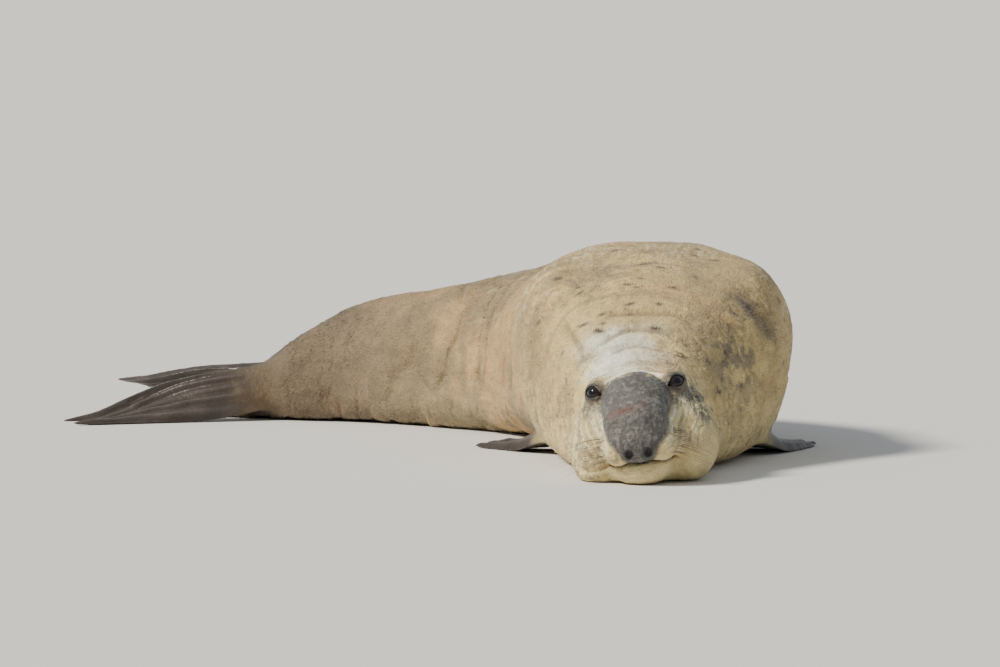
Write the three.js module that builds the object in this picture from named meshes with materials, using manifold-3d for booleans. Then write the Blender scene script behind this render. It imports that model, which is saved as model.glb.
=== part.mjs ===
// A subadult male southern elephant seal at life size, hauled out flat on its belly.
// The head faces -Y, the body runs back along +Y and curls round towards -X, and +Z is up.
// Millimetres. The origin is on the floor under the chest, where the belly lies flat.
// Everything is shaped on a straight body, with x to the seal's left, y back from the nose
// and z up, and is then bent along the backbone, so each cut across the body stays flat.

import * as THREE from "three";
import { mergeVertices } from "three/addons/utils/BufferGeometryUtils.js";
import Module from "manifold-3d";

const wasm = await Module();
wasm.setup();

// Driving sizes: nose to tail tip along the back, and the body where it is largest
const LENGTH = 3600;
const GIRTH_WIDTH = 870;
const GIRTH_HEIGHT = 680;
// The space left between two pieces that meet
const GAP = 0.35;
// How finely the body is faceted round about
const AROUND = 36;

const { cos, sin, abs, min, max, hypot, sqrt, exp, PI } = Math;
const { lerp, clamp, smoothstep, degToRad } = THREE.MathUtils;
const ramp = (from, to, value) => smoothstep(value, from, to);
const point = (x, y, z) => new THREE.Vector3(x, y, z);

// The backbone's heading in degrees, counted from +Y towards -X. It runs straight through
// head, neck and shoulders, swings round along the belly and turns a little more at the hips.
const HEADING = { head: -4.3, loin: 63, hips: 88 };
const BEND = { starts: 0.307, loin: 0.84, hips: 0.97 };
const BACKBONE_STEP = 10;
const ORIGIN_AT = 0.36;

function heading(y) {
  const along = y / LENGTH;
  const first = (HEADING.loin - HEADING.head) * ramp(BEND.starts, BEND.loin, along);
  const second = (HEADING.hips - HEADING.loin) * ramp(BEND.loin - 0.06, BEND.hips, along);
  return degToRad(HEADING.head + first + second);
}

const backbone = [new THREE.Vector2(0, 0)];
for (let y = 0; y < LENGTH * 1.4; y += BACKBONE_STEP) {
  const turn = heading(y + BACKBONE_STEP / 2);
  const step = new THREE.Vector2(-sin(turn), cos(turn)).multiplyScalar(BACKBONE_STEP);
  backbone.push(backbone.at(-1).clone().add(step));
}

function backboneAt(y) {
  if (y <= 0) return new THREE.Vector2(-sin(heading(0)), cos(heading(0))).multiplyScalar(y);
  const i = min(Math.floor(y / BACKBONE_STEP), backbone.length - 2);
  return backbone[i].clone().lerp(backbone[i + 1], y / BACKBONE_STEP - i);
}

const originPoint = backboneAt(ORIGIN_AT * LENGTH);

// Carries a point of the straight body to its place on the bent one
function bend(p) {
  const turn = heading(p.y);
  const spot = backboneAt(p.y).sub(originPoint);
  return point(spot.x + p.x * cos(turn), spot.y + p.x * sin(turn), p.z);
}

// The trunk's width and height down its length, as shares of the driving sizes
const TRUNK = [
  { at: 0.085, width: 0.2, height: 0.36 },
  { at: 0.14, width: 0.49, height: 0.57 },
  { at: 0.2, width: 0.68, height: 0.735 },
  { at: 0.28, width: 0.88, height: 0.893 },
  { at: 0.375, width: 0.955, height: 0.982 },
  { at: 0.5, width: 1.0, height: 0.94 },
  { at: 0.64, width: 0.876, height: 0.808 },
  { at: 0.76, width: 0.71, height: 0.688 },
  { at: 0.86, width: 0.53, height: 0.57 },
  { at: 0.92, width: 0.41, height: 0.418 },
  { at: 0.955, width: 0.26, height: 0.28 },
  { at: 0.985, width: 0.11, height: 0.16 },
];
// The trunk is widest at this share of its height. It spreads where it lies, and its underside
// is pressed flat by the floor.
const WIDEST = 0.37;
const ROUND_ABOVE = 2.6;
const ROUND_BELOW = 3.1;
const PRESSED = 22;

// A smooth curve through one column of the trunk's stations
function trunkSize(y, column) {
  const along = clamp(y / LENGTH, TRUNK[0].at, TRUNK.at(-1).at);
  const last = TRUNK.length - 1;
  const i = max(TRUNK.findIndex((station) => station.at >= along) - 1, 0);
  const [a, b] = [TRUNK[i], TRUNK[i + 1]];
  const span = b.at - a.at;
  const t = (along - a.at) / span;
  const slope = (left, right) => (right[column] - left[column]) / (right.at - left.at);
  const slopeA = slope(TRUNK[max(i - 1, 0)], b) * span;
  const slopeB = slope(a, TRUNK[min(i + 2, last)]) * span;
  const rise = b[column] - a[column];
  const curve = 3 * rise - 2 * slopeA - slopeB + t * (slopeA + slopeB - 2 * rise);
  return a[column] + t * (slopeA + t * curve);
}

const trunkHalf = (y) => (trunkSize(y, "width") * GIRTH_WIDTH) / 2;
const trunkHeight = (y) => trunkSize(y, "height") * GIRTH_HEIGHT;

// Both ends of the trunk are rounded off, one inside the skull and one at the tail
const TRUNK_ROUNDING = 60;

function trunkDistance(p) {
  const past = max(TRUNK[0].at * LENGTH - p.y, p.y - TRUNK.at(-1).at * LENGTH, 0) / TRUNK_ROUNDING;
  if (past >= 1) return LENGTH;
  const end = sqrt(1 - past * past);
  const half = trunkHalf(p.y) * end;
  const middle = trunkHeight(p.y) * WIDEST;
  const above = p.z > middle;
  const reach = (above ? trunkHeight(p.y) - middle : middle + PRESSED) * end;
  const n = above ? ROUND_ABOVE : ROUND_BELOW;
  const share = ((abs(p.x) / half) ** n + (abs(p.z - middle) / reach) ** n) ** (1 / n);
  return (share - 1) * min(half, reach);
}

// The smaller of two distances, blended where they are closer than k
function blend(a, b, k) {
  const h = max(k - abs(a - b), 0) / k;
  return min(a, b) - (h * h * k) / 4;
}

// Rounded forms laid over the trunk, before the head is rolled: middle, half sizes, how far
// the form's front is lowered in degrees, and how softly it melts into the forms before it.
// A form off the midline has a twin on the other side.
const SKULL = {
  shoulder: { at: [300, 1210, 400], size: [120, 250, 190], lift: 8, soft: 140 },
  throat: { at: [0, 430, 92], size: [222, 280, 146], lift: 0, soft: 70 },
  jowl: { at: [136, 270, 84], size: [86, 140, 100], lift: 0, soft: 70 },
  cranium: { at: [0, 420, 200], size: [182, 240, 165], lift: 12, soft: 60 },
  cheek: { at: [108, 330, 170], size: [84, 135, 105], lift: 6, soft: 60 },
  muzzle: { at: [0, 205, 180], size: [112, 165, 90], lift: 20, soft: 50 },
  brow: { at: [110, 300, 290], size: [48, 66, 38], lift: 14, soft: 40 },
  pad: { at: [62, 104, 120], size: [62, 84, 56], lift: 10, soft: 36 },
  lid: { at: [118, 266, 282], size: [38, 38, 38], lift: 0, soft: 18 },
};
const NOSE = {
  bridge: { at: [0, 190, 240], size: [112, 150, 92], lift: 22, soft: 1 },
  lobe: { at: [0, 88, 194], size: [106, 86, 82], lift: 28, soft: 12 },
  tip: { at: [0, 54, 132], size: [92, 54, 64], lift: 0, soft: 30 },
};
const JAW = {
  chin: { at: [0, 120, 46], size: [78, 66, 46], lift: 0, soft: 1 },
  jaw: { at: [0, 210, 62], size: [100, 150, 68], lift: 4, soft: 40 },
};
// The flesh over each hip, which the hind flipper comes out of
const HAUNCH = { at: [98, 3275, 105], size: [98, 200, 97], lift: 0, soft: 60 };
// The head lies over a little to the seal's right, about a line through the jaws
const HEAD_ROLL = degToRad(8);
const HEAD_AXIS = 280;

// Turns a point of the straight body into the upright head's own frame
function intoHead(p) {
  const z = p.z - HEAD_AXIS;
  const x = p.x * cos(HEAD_ROLL) + z * sin(HEAD_ROLL);
  return point(x, p.y, HEAD_AXIS + z * cos(HEAD_ROLL) - p.x * sin(HEAD_ROLL));
}

// The other way: a point of the upright head on the straight body
function fromHead(p) {
  const z = p.z - HEAD_AXIS;
  const x = p.x * cos(HEAD_ROLL) - z * sin(HEAD_ROLL);
  return point(x, p.y, HEAD_AXIS + z * cos(HEAD_ROLL) + p.x * sin(HEAD_ROLL));
}

function formDistance(p, form) {
  const lift = degToRad(form.lift);
  const [x, dy, dz] = [abs(p.x) - form.at[0], p.y - form.at[1], p.z - form.at[2]];
  const y = dy * cos(lift) + dz * sin(lift);
  const z = dz * cos(lift) - dy * sin(lift);
  const [rx, ry, rz] = form.size;
  const k0 = hypot(x / rx, y / ry, z / rz);
  const k1 = hypot(x / rx ** 2, y / ry ** 2, z / rz ** 2);
  return (k0 * (k0 - 1)) / max(k1, 1e-9);
}

function formsDistance(p, forms, distance) {
  const upright = intoHead(p);
  for (const form of Object.values(forms)) {
    const q = form === SKULL.shoulder ? p : upright;
    distance = blend(distance, formDistance(q, form), form.soft);
  }
  return distance;
}

const trunkAndHips = (p) => blend(trunkDistance(p), formDistance(p, HAUNCH), HAUNCH.soft);
const bodyDistance = (p) => formsDistance(p, SKULL, trunkAndHips(p));
const noseDistance = (p) => formsDistance(p, NOSE, LENGTH);
const jawDistance = (p) => formsDistance(p, JAW, LENGTH);

// Follows a ray in from outside and gives how far from its start the skin is, or the floor
const FAR_OUT = 560;
const COARSE_STEP = 14;
const HALVINGS = 12;

function skinReach(start, direction, distance, grown) {
  const at = (t) => distance(start.clone().addScaledVector(direction, t)) - grown;
  let t = FAR_OUT;
  while (t > COARSE_STEP && at(t) > 0) t -= COARSE_STEP;
  let [near, far] = [t, t + COARSE_STEP];
  for (let i = 0; i < HALVINGS; i++) {
    const middle = (near + far) / 2;
    if (at(middle) > 0) far = middle;
    else near = middle;
  }
  const floor = direction.z < 0 ? -start.z / direction.z : Infinity;
  return min(near, floor);
}

// A closed mesh, shaped on the straight body, as a solid of the bent one
function solidOf(geometry) {
  reshape(geometry, bend);
  const bare = geometry.index ? geometry.toNonIndexed() : geometry.clone();
  for (const name of Object.keys(bare.attributes)) {
    if (name !== "position") bare.deleteAttribute(name);
  }
  const merged = mergeVertices(bare, 1e-3);
  const vertProperties = merged.getAttribute("position").array;
  const triVerts = Uint32Array.from(merged.index.array);
  return new wasm.Manifold(new wasm.Mesh({ numProp: 3, vertProperties, triVerts }));
}

// The largest body of a cut solid, without the scraps left on the cut's far side
function mainBody(solid) {
  return solid.decompose().reduce((a, b) => (b.volume() > a.volume() ? b : a));
}

// Moves every corner of a geometry by a rule
function reshape(geometry, rule) {
  const place = geometry.getAttribute("position");
  for (let i = 0; i < place.count; i++) {
    const moved = rule(new THREE.Vector3().fromBufferAttribute(place, i));
    place.setXYZ(i, moved.x, moved.y, moved.z);
  }
  return geometry;
}

const seal = new THREE.Group();

function add(name, solid, material) {
  const mesh = solid.getMesh();
  const geometry = new THREE.BufferGeometry();
  geometry.setAttribute("position", new THREE.BufferAttribute(mesh.vertProperties, 3));
  geometry.setIndex(new THREE.BufferAttribute(mesh.triVerts, 1));
  geometry.computeVertexNormals();
  const made = new THREE.Mesh(geometry, material);
  made.name = name;
  seal.add(made);
}

const coat = new THREE.MeshStandardMaterial({ color: 0xb4a184, roughness: 0.8 });
const noseSkin = new THREE.MeshStandardMaterial({ color: 0x6e6a68, roughness: 0.75 });
const flipperSkin = new THREE.MeshStandardMaterial({ color: 0x4c423b, roughness: 0.6 });
const wetEye = new THREE.MeshStandardMaterial({ color: 0x0d0c0c, roughness: 0.06 });
const horn = new THREE.MeshStandardMaterial({ color: 0x2c2622, roughness: 0.5 });

// A closed length of the trunk between two cuts, ringed all the way, with flat ends
function trunkPiece(from, to, rings, grown = 0) {
  const profile = [];
  for (let i = -1; i <= rings + 1; i++) profile.push(new THREE.Vector2(i < 0 || i > rings ? 0 : 1, i));
  return solidOf(
    reshape(new THREE.LatheGeometry(profile, AROUND), (v) => {
      const t = clamp(v.y / rings, 0, 1);
      const y = lerp(from, to, t) + grown * (t === 1) - grown * (t === 0);
      const start = point(0, y, trunkHeight(y) * WIDEST);
      if (hypot(v.x, v.z) < 0.5) return start;
      const direction = point(v.x, 0, v.z);
      return start.addScaledVector(direction, skinReach(start, direction, bodyDistance, grown));
    }),
  );
}

// A closed form round one point, its corners spread evenly
function wrapped(centre, fineness, distance, grown = 0) {
  return solidOf(
    reshape(new THREE.IcosahedronGeometry(1, fineness), (v) => {
      const direction = v.normalize();
      return centre.clone().addScaledVector(direction, skinReach(centre, direction, distance, grown));
    }),
  );
}

// The body behind the head, divided across: where each part ends, as a share of the length
const HEAD_ENDS = 0.15;
const PARTS = [
  { name: "neck", from: HEAD_ENDS, to: 0.24, rings: 5 },
  { name: "torso_front", from: 0.24, to: 0.44, rings: 8 },
  { name: "torso_middle", from: 0.44, to: 0.68, rings: 9 },
  { name: "torso_rear", from: 0.68, to: 0.955, rings: 12 },
  { name: "tail", from: 0.955, to: 1, rings: 4 },
];

function bodyPart(part, grown = 0) {
  const [from, to] = [part.from * LENGTH + GAP / 2, part.to * LENGTH - GAP / 2];
  return trunkPiece(from, to, part.rings, grown);
}

// A ball in the head, squashed and set in place
function headBall(radii, at, fineness = 3) {
  return solidOf(
    reshape(new THREE.IcosahedronGeometry(1, fineness), (v) =>
      fromHead(v.multiply(point(...radii)).add(point(...at))),
    ),
  );
}

// The eye, and the almond opening that its lids leave, looking outward, forward and up
const EYE = { at: [118, 266, 282], radius: 33, looks: [0.55, -0.78, 0.3] };
const OPENING = { length: 62, height: 46, depth: 34, slant: 12 };

const mirrored = (values, side) => [values[0] * side, values[1], values[2]];

function eyeBall(side, grown = 0) {
  const r = EYE.radius + grown;
  return headBall([r, r, r], mirrored(EYE.at, side), 3);
}

function lidOpening(side) {
  const half = OPENING.length / 2;
  const [lower, upper] = [-OPENING.height / 1.6, OPENING.height / 1.4];
  const almond = new THREE.Shape();
  almond.moveTo(-half, 0);
  almond.bezierCurveTo(-half * 0.5, lower, half * 0.5, lower, half, 0);
  almond.bezierCurveTo(half * 0.5, upper, -half * 0.5, upper, -half, 0);
  const settings = { depth: OPENING.depth, bevelEnabled: false, curveSegments: 9 };
  const cutter = new THREE.ExtrudeGeometry(almond, settings);
  cutter.rotateZ(degToRad(OPENING.slant) * side);
  cutter.translate(0, 0, EYE.radius * 0.55);
  const looks = point(...mirrored(EYE.looks, side)).normalize();
  const across = new THREE.Vector3().crossVectors(point(0, 0, 1), looks).normalize();
  const up = new THREE.Vector3().crossVectors(looks, across);
  const turn = new THREE.Matrix4().makeBasis(across, up, looks);
  turn.setPosition(...mirrored(EYE.at, side));
  cutter.applyMatrix4(turn);
  return solidOf(reshape(cutter, fromHead));
}

// A seal's ear is a bare hole behind the eye, with no flap
const EAR = { at: [150, 400, 262], radii: [40, 7, 5] };
const NOSTRIL = { at: [30, 8, 100], radii: [12, 20, 16] };
// Grooves in the skin, as points in the upright head that are dropped onto it from inside:
// the folds over and under each eye, and the mouth's corner
const GROOVE = 2.2;
const UPPER_FOLD = [[86, 246, 296], [98, 240, 316], [122, 246, 328], [148, 266, 324], [164, 290, 306]];
const LOWER_FOLD = [[84, 236, 274], [98, 228, 252], [122, 238, 240], [148, 262, 248], [162, 284, 266]];
const MOUTH_CORNER = [[58, 96, 74], [84, 116, 72], [104, 148, 75], [120, 184, 86]];

// A groove that follows the head's skin through a row of points
function groove(points, side) {
  const laid = points.map((at) => {
    const direction = fromHead(point(...mirrored(at, side))).sub(HEAD_CENTRE).normalize();
    const reach = skinReach(HEAD_CENTRE, direction, bodyDistance, 0);
    return HEAD_CENTRE.clone().addScaledVector(direction, reach);
  });
  const curve = new THREE.CatmullRomCurve3(laid);
  return solidOf(
    reshape(new THREE.CylinderGeometry(GROOVE, GROOVE, 1, 4, 9), (v) => {
      const t = v.y + 0.5;
      const spot = curve.getPoint(t);
      const onward = curve.getTangent(t);
      const aside = new THREE.Vector3().crossVectors(onward, spot.clone().sub(HEAD_CENTRE)).normalize();
      const out = new THREE.Vector3().crossVectors(aside, onward);
      const full = 0.3 + 0.7 * sin(PI * t);
      return spot.addScaledVector(aside, v.x * full).addScaledVector(out, v.z * full);
    }),
  );
}

const HEAD_CENTRE = point(0, 300, 155);
const HEAD_FINENESS = 11;
const NOSE_CENTRE = point(0, 110, 205);
const NOSE_FINENESS = 7;
const JAW_CENTRE = point(0, 170, 60);
const JAW_FINENESS = 5;

function head() {
  const forward = point(sin(heading(0)), -cos(heading(0)), 0);
  const cut = bend(point(0, HEAD_ENDS * LENGTH - GAP / 2, 0));
  let made = wrapped(HEAD_CENTRE, HEAD_FINENESS, bodyDistance).trimByPlane(forward.toArray(), cut.dot(forward));
  for (const side of [-1, 1]) {
    made = made.subtract(eyeBall(side, GAP)).subtract(lidOpening(side));
    made = made.subtract(headBall(EAR.radii, mirrored(EAR.at, side), 1));
    for (const row of [UPPER_FOLD, LOWER_FOLD, MOUTH_CORNER]) made = made.subtract(groove(row, side));
  }
  return made;
}

const headSpace = wrapped(HEAD_CENTRE, HEAD_FINENESS, bodyDistance, GAP);
const noseSpace = wrapped(NOSE_CENTRE, NOSE_FINENESS, noseDistance, GAP);

function proboscis() {
  let made = mainBody(wrapped(NOSE_CENTRE, NOSE_FINENESS, noseDistance).subtract(headSpace));
  for (const side of [-1, 1]) {
    made = made.subtract(headBall(NOSTRIL.radii, mirrored(NOSTRIL.at, side), 2));
  }
  return made;
}

function lowerJaw() {
  const whole = wrapped(JAW_CENTRE, JAW_FINENESS, jawDistance);
  return mainBody(whole.subtract(headSpace).subtract(noseSpace));
}

// Flippers are blades with five digits raised on both faces. Shapes are given for the seal's
// left side. Across the blade w runs from -1 to 1, and along it t runs from 0 to 1.
const FORE = {
  columns: 20,
  rows: 9,
  length: 440,
  halfWidth: [66, 98, 100, 72],
  halfDepth: [46, 26, 14, 6],
  digits: [1, 0.98, 0.92, 0.83, 0.7],
  ridge: 4.5,
  notch: 0.06,
};
const HIND = {
  columns: 20,
  rows: 12,
  length: 820,
  halfWidth: [82, 80, 100, 104],
  halfDepth: [56, 34, 14, 5],
  digits: [1, 0.88, 0.83, 0.86, 0.98],
  ridge: 5,
  notch: 0.045,
};
// How each flipper lies: where its root's lower edge is, how far it swings out from the
// body's line, how far its upper edge falls inward at root and tip, and how it drops
const FORE_LIES = {
  left: { root: [338, 1110, 40], swing: 27, lean: [80, 90], drop: 40 },
  right: { root: [330, 1120, 40], swing: 34, lean: [80, 90], drop: 40 },
};
const HIND_LIES = {
  left: { root: [96, 3220, 46], swing: 36, lean: [26, 64], drop: 44 },
  right: { root: [100, 3285, 46], swing: 21, lean: [26, 92], drop: 46 },
};
const EDGE = 1.5;

const digitAt = (i) => -0.86 + 0.43 * i;

// A smooth curve through four even steps from root to tip
function alongBlade(values, t) {
  const i = min(Math.floor(t * 3), 2);
  const f = ramp(0, 1, t * 3 - i) * 0.35 + (t * 3 - i) * 0.65;
  return lerp(values[i], values[i + 1], f);
}

// How strongly a place across the blade belongs to a digit rather than to the web
function digitShare(w) {
  let share = 0;
  for (let i = 0; i < 5; i++) share += exp(-(((w - digitAt(i)) / 0.1) ** 2));
  return min(share, 1);
}

function digitLength(shape, w) {
  const place = clamp((w - digitAt(0)) / 0.43, 0, 4);
  const i = min(Math.floor(place), 3);
  const length = lerp(shape.digits[i], shape.digits[i + 1], place - i);
  const corner = max(abs(w) - 0.86, 0) / 0.14;
  return length - shape.notch * (1 - digitShare(w)) - 0.05 * corner ** 2;
}

// A point of a left flipper: on its upper or outer face where face is 1, on the other at -1
function bladePoint(shape, lies, w, t, face) {
  const swing = degToRad(lies.swing);
  const lean = degToRad(lerp(lies.lean[0], lies.lean[1], ramp(0.2, 1, t)));
  const along = point(sin(swing), cos(swing), 0);
  const inward = point(-cos(swing), sin(swing), 0);
  const across = inward.multiplyScalar(sin(lean)).add(point(0, 0, cos(lean)));
  const out = new THREE.Vector3().crossVectors(along, across);
  const reach = shape.length * t * lerp(1, digitLength(shape, w), t);
  const rounded = sqrt(max(1 - w ** 4, 0));
  const spine = alongBlade(shape.halfDepth, t) * rounded;
  const depth = max(spine + shape.ridge * digitShare(w) * ramp(0.15, 0.5, t), EDGE);
  const height = lies.root[2] - lies.drop * ramp(0, 0.55, t);
  const p = point(lies.root[0], lies.root[1], height + depth * abs(out.z));
  p.addScaledVector(along, reach);
  p.addScaledVector(across, (w + 1) * alongBlade(shape.halfWidth, t));
  p.addScaledVector(out, face * depth);
  p.z = max(p.z, 0);
  return p;
}

// Splits the squares of a box's rear face the same way as those of its front face
function splitAlike(box) {
  const corners = box.getIndex();
  const { start, count } = box.groups[5];
  for (let i = start; i < start + count; i += 6) {
    const [a, b, c, d] = [0, 1, 4, 2].map((k) => corners.getX(i + k));
    [a, b, c, a, c, d].forEach((corner, k) => corners.setX(i + k, corner));
  }
}

function flipper(shape, lies, side) {
  const box = new THREE.BoxGeometry(2, 1, 2, shape.columns, shape.rows, 1);
  splitAlike(box);
  return solidOf(
    reshape(box, (v) => {
      const p = bladePoint(shape, lies, -v.x * side, v.y + 0.5, v.z);
      p.x *= side;
      return p;
    }),
  );
}

// What the flippers are cut back from, so that each meets the body face to face
const trunkSpace = PARTS.map((part) => bodyPart(part, GAP)).reduce((a, b) => a.add(b));

add("head", head(), coat);
add("proboscis", proboscis(), noseSkin);
add("lower_jaw", lowerJaw(), coat);
add("eye_left", eyeBall(1), wetEye);
add("eye_right", eyeBall(-1), wetEye);
for (const part of PARTS) add(part.name, bodyPart(part), coat);

// The five claws of a fore flipper stand in sockets on top of its digits' ends
const CLAW = { length: 38, radius: 5.6, sunk: 10, from: 0.93, droop: 7 };

function claw(lies, digit, side, grown = 0) {
  const root = bladePoint(FORE, lies, digitAt(digit), CLAW.from, 1);
  const onward = bladePoint(FORE, lies, digitAt(digit), 1, 1).sub(root).normalize();
  const up = point(0, 0, 1);
  const aside = new THREE.Vector3().crossVectors(onward, up).normalize();
  const rod = new THREE.CylinderGeometry(1 + grown, CLAW.radius + grown, CLAW.length, 7, 4);
  return solidOf(
    reshape(rod, (v) => {
      const along = v.y + CLAW.length / 2 - CLAW.sunk;
      const end = grown * (v.y > 0) - grown * (v.y < 0);
      const p = root.clone().addScaledVector(onward, along + end);
      p.addScaledVector(aside, v.x * side);
      p.z += v.z - 2 - CLAW.droop * (v.y / CLAW.length + 0.5) ** 2;
      return point(p.x * side, p.y, p.z);
    }),
  );
}

for (const [name, side] of [["left", 1], ["right", -1]]) {
  let fore = flipper(FORE, FORE_LIES[name], side).subtract(trunkSpace);
  for (let digit = 0; digit < 5; digit++) {
    fore = fore.subtract(claw(FORE_LIES[name], digit, side, GAP));
    add(`fore_claw_${name}_${digit + 1}`, claw(FORE_LIES[name], digit, side), horn);
  }
  const hind = flipper(HIND, HIND_LIES[name], side).subtract(trunkSpace);
  add(`fore_flipper_${name}`, mainBody(fore), flipperSkin);
  add(`hind_flipper_${name}`, mainBody(hind), flipperSkin);
}

export default seal;
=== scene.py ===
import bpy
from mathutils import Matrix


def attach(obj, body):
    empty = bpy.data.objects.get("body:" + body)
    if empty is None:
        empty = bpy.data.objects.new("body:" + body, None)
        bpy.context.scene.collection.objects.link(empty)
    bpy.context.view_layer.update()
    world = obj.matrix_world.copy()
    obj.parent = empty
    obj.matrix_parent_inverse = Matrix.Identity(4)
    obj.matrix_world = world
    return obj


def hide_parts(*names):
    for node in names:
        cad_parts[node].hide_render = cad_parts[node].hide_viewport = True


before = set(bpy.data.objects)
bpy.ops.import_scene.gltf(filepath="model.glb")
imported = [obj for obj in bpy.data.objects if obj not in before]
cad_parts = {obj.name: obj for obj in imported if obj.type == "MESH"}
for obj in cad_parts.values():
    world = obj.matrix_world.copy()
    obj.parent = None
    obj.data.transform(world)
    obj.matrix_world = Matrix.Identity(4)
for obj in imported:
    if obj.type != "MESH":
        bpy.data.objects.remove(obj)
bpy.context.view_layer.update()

import math

import bpy
import numpy as np
from mathutils import Vector, kdtree

# The room: a plain pale floor under soft studio light, and a long lens that looks at the animal
# from low in front, a little to the seal's right.
SNOUT = Vector((-0.0653, -1.2953, 0.0))
FRAME_WIDTH, FRAME_MIDDLE, SNOUT_IN_FRAME = 1000, (500, 333.5), (640, 488)
METRES_PER_PIXEL, CAMERA_AWAY, CAMERA_HEIGHT = 0.00305, 25.0, math.radians(4)
SENSOR_WIDTH, FLOOR_HALF = 36, 70


def placed(name, data):
    made = bpy.data.objects.new(name, data)
    bpy.context.collection.objects.link(made)
    return made


def feed(made, inputs):
    """Sets a node's inputs, each to a value or to another node's output."""
    for socket, value in inputs.items():
        if isinstance(value, bpy.types.NodeSocket):
            made.id_data.links.new(value, made.inputs[socket])
        else:
            made.inputs[socket].default_value = value


def finish(name, inputs):
    """A material and its shader, with the inputs that are the same all over it."""
    made = bpy.data.materials.new(name)
    made.use_nodes = True
    shader = made.node_tree.nodes["Principled BSDF"]
    feed(shader, inputs)
    return made, shader


onward = Vector((0, math.cos(CAMERA_HEIGHT), -math.sin(CAMERA_HEIGHT)))
upright = Vector((0, math.sin(CAMERA_HEIGHT), math.cos(CAMERA_HEIGHT)))
to_right = FRAME_MIDDLE[0] - SNOUT_IN_FRAME[0]
to_top = SNOUT_IN_FRAME[1] - FRAME_MIDDLE[1]
lens = bpy.data.cameras.new("camera")
camera = placed("camera", lens)
camera.location = SNOUT - CAMERA_AWAY * onward
camera.location += METRES_PER_PIXEL * (to_right * Vector((1, 0, 0)) + to_top * upright)
camera.rotation_euler = (math.radians(90) - CAMERA_HEIGHT, 0, 0)
lens.sensor_width = SENSOR_WIDTH
lens.lens = SENSOR_WIDTH * CAMERA_AWAY / (FRAME_WIDTH * METRES_PER_PIXEL)
lens.clip_start, lens.clip_end = 0.5, 300
bpy.context.scene.camera = camera

floor_mesh = bpy.data.meshes.new("floor")
floor_corners = [(x * FLOOR_HALF, y * FLOOR_HALF, 0) for x, y in ((-1, -1), (1, -1), (1, 1), (-1, 1))]
floor_mesh.from_pydata(floor_corners, [], [(0, 1, 2, 3)])
floor_paint = finish("floor_paint", {"Base Color": (0.74, 0.73, 0.71, 1), "Roughness": 0.85})[0]
floor_mesh.materials.append(floor_paint)
floor = placed("floor", floor_mesh)

room = bpy.data.worlds.new("room")
bpy.context.scene.world = room
room.use_nodes = True
feed(room.node_tree.nodes["Background"], {"Color": (0.86, 0.93, 1.0, 1), "Strength": 0.45})
sun = bpy.data.lights.new("key", "SUN")
sun.energy, sun.angle, sun.color = 5.0, math.radians(12), (1.0, 0.94, 0.83)
placed("key", sun).rotation_euler = Vector((-1.0, -0.5, 1.05)).to_track_quat("Z", "Y").to_euler()

# The skin: one hide over head, body and flippers, thick and loose, wrinkled where it folds and
# scarred from fights. It is shaped in millimetres on a straight body, with x to the seal's left,
# y back from the nose and z up, and is bent along the backbone at the end.
LENGTH, GIRTH_WIDTH, GIRTH_HEIGHT = 3600.0, 870.0, 680.0
HEADING = {"head": -4.3, "loin": 63.0, "hips": 88.0}
BEND = {"starts": 0.307, "loin": 0.84, "hips": 0.97}
ORIGIN_AT = 0.36
LINK, PAST_TAIL, BEFORE_NOSE, MM_IN_METRE = 10.0, 1.4, 600, 1000


def smooth(start, end, value):
    t = np.clip((value - start) / (end - start), 0, 1)
    return t * t * (3 - 2 * t)


def heading(y):
    along = y / LENGTH
    first = (HEADING["loin"] - HEADING["head"]) * smooth(BEND["starts"], BEND["loin"], along)
    second = (HEADING["hips"] - HEADING["loin"]) * smooth(BEND["loin"] - 0.06, BEND["hips"], along)
    return np.radians(HEADING["head"] + first + second)


link_starts = np.arange(0, LENGTH * PAST_TAIL, LINK)
link_turns = heading(link_starts + LINK / 2)
links = LINK * np.stack([-np.sin(link_turns), np.cos(link_turns)], 1)
before_nose = BEFORE_NOSE * np.array([-math.sin(heading(0)), math.cos(heading(0))])
backbone = np.vstack([[-before_nose], [[0, 0]], np.cumsum(links, 0)])
backbone_y = np.concatenate([[-BEFORE_NOSE, 0], link_starts + LINK])


def backbone_at(y):
    return np.stack([np.interp(y, backbone_y, backbone[:, k]) for k in (0, 1)], -1)


origin_point = backbone_at(ORIGIN_AT * LENGTH)


def bend(p):
    """Places on the straight body, in millimetres, as they lie along the backbone, in metres."""
    turn, spot = heading(p[:, 1]), backbone_at(p[:, 1]) - origin_point
    x, y = spot[:, 0] + p[:, 0] * np.cos(turn), spot[:, 1] + p[:, 0] * np.sin(turn)
    return np.stack([x, y, p[:, 2]], -1) / MM_IN_METRE


# the trunk's width and height down its length, as shares of the girth
TRUNK = np.array([
    (0.085, 0.2, 0.36), (0.14, 0.49, 0.57), (0.2, 0.68, 0.735), (0.28, 0.88, 0.893),
    (0.375, 0.955, 0.982), (0.5, 1.0, 0.94), (0.64, 0.876, 0.808), (0.76, 0.71, 0.688),
    (0.86, 0.53, 0.57), (0.92, 0.41, 0.418), (0.955, 0.26, 0.28), (0.985, 0.11, 0.16),
])
WIDEST, ROUND_ABOVE, ROUND_BELOW, PRESSED, ROUNDING = 0.37, 2.6, 3.1, 22.0, 60.0


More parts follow.
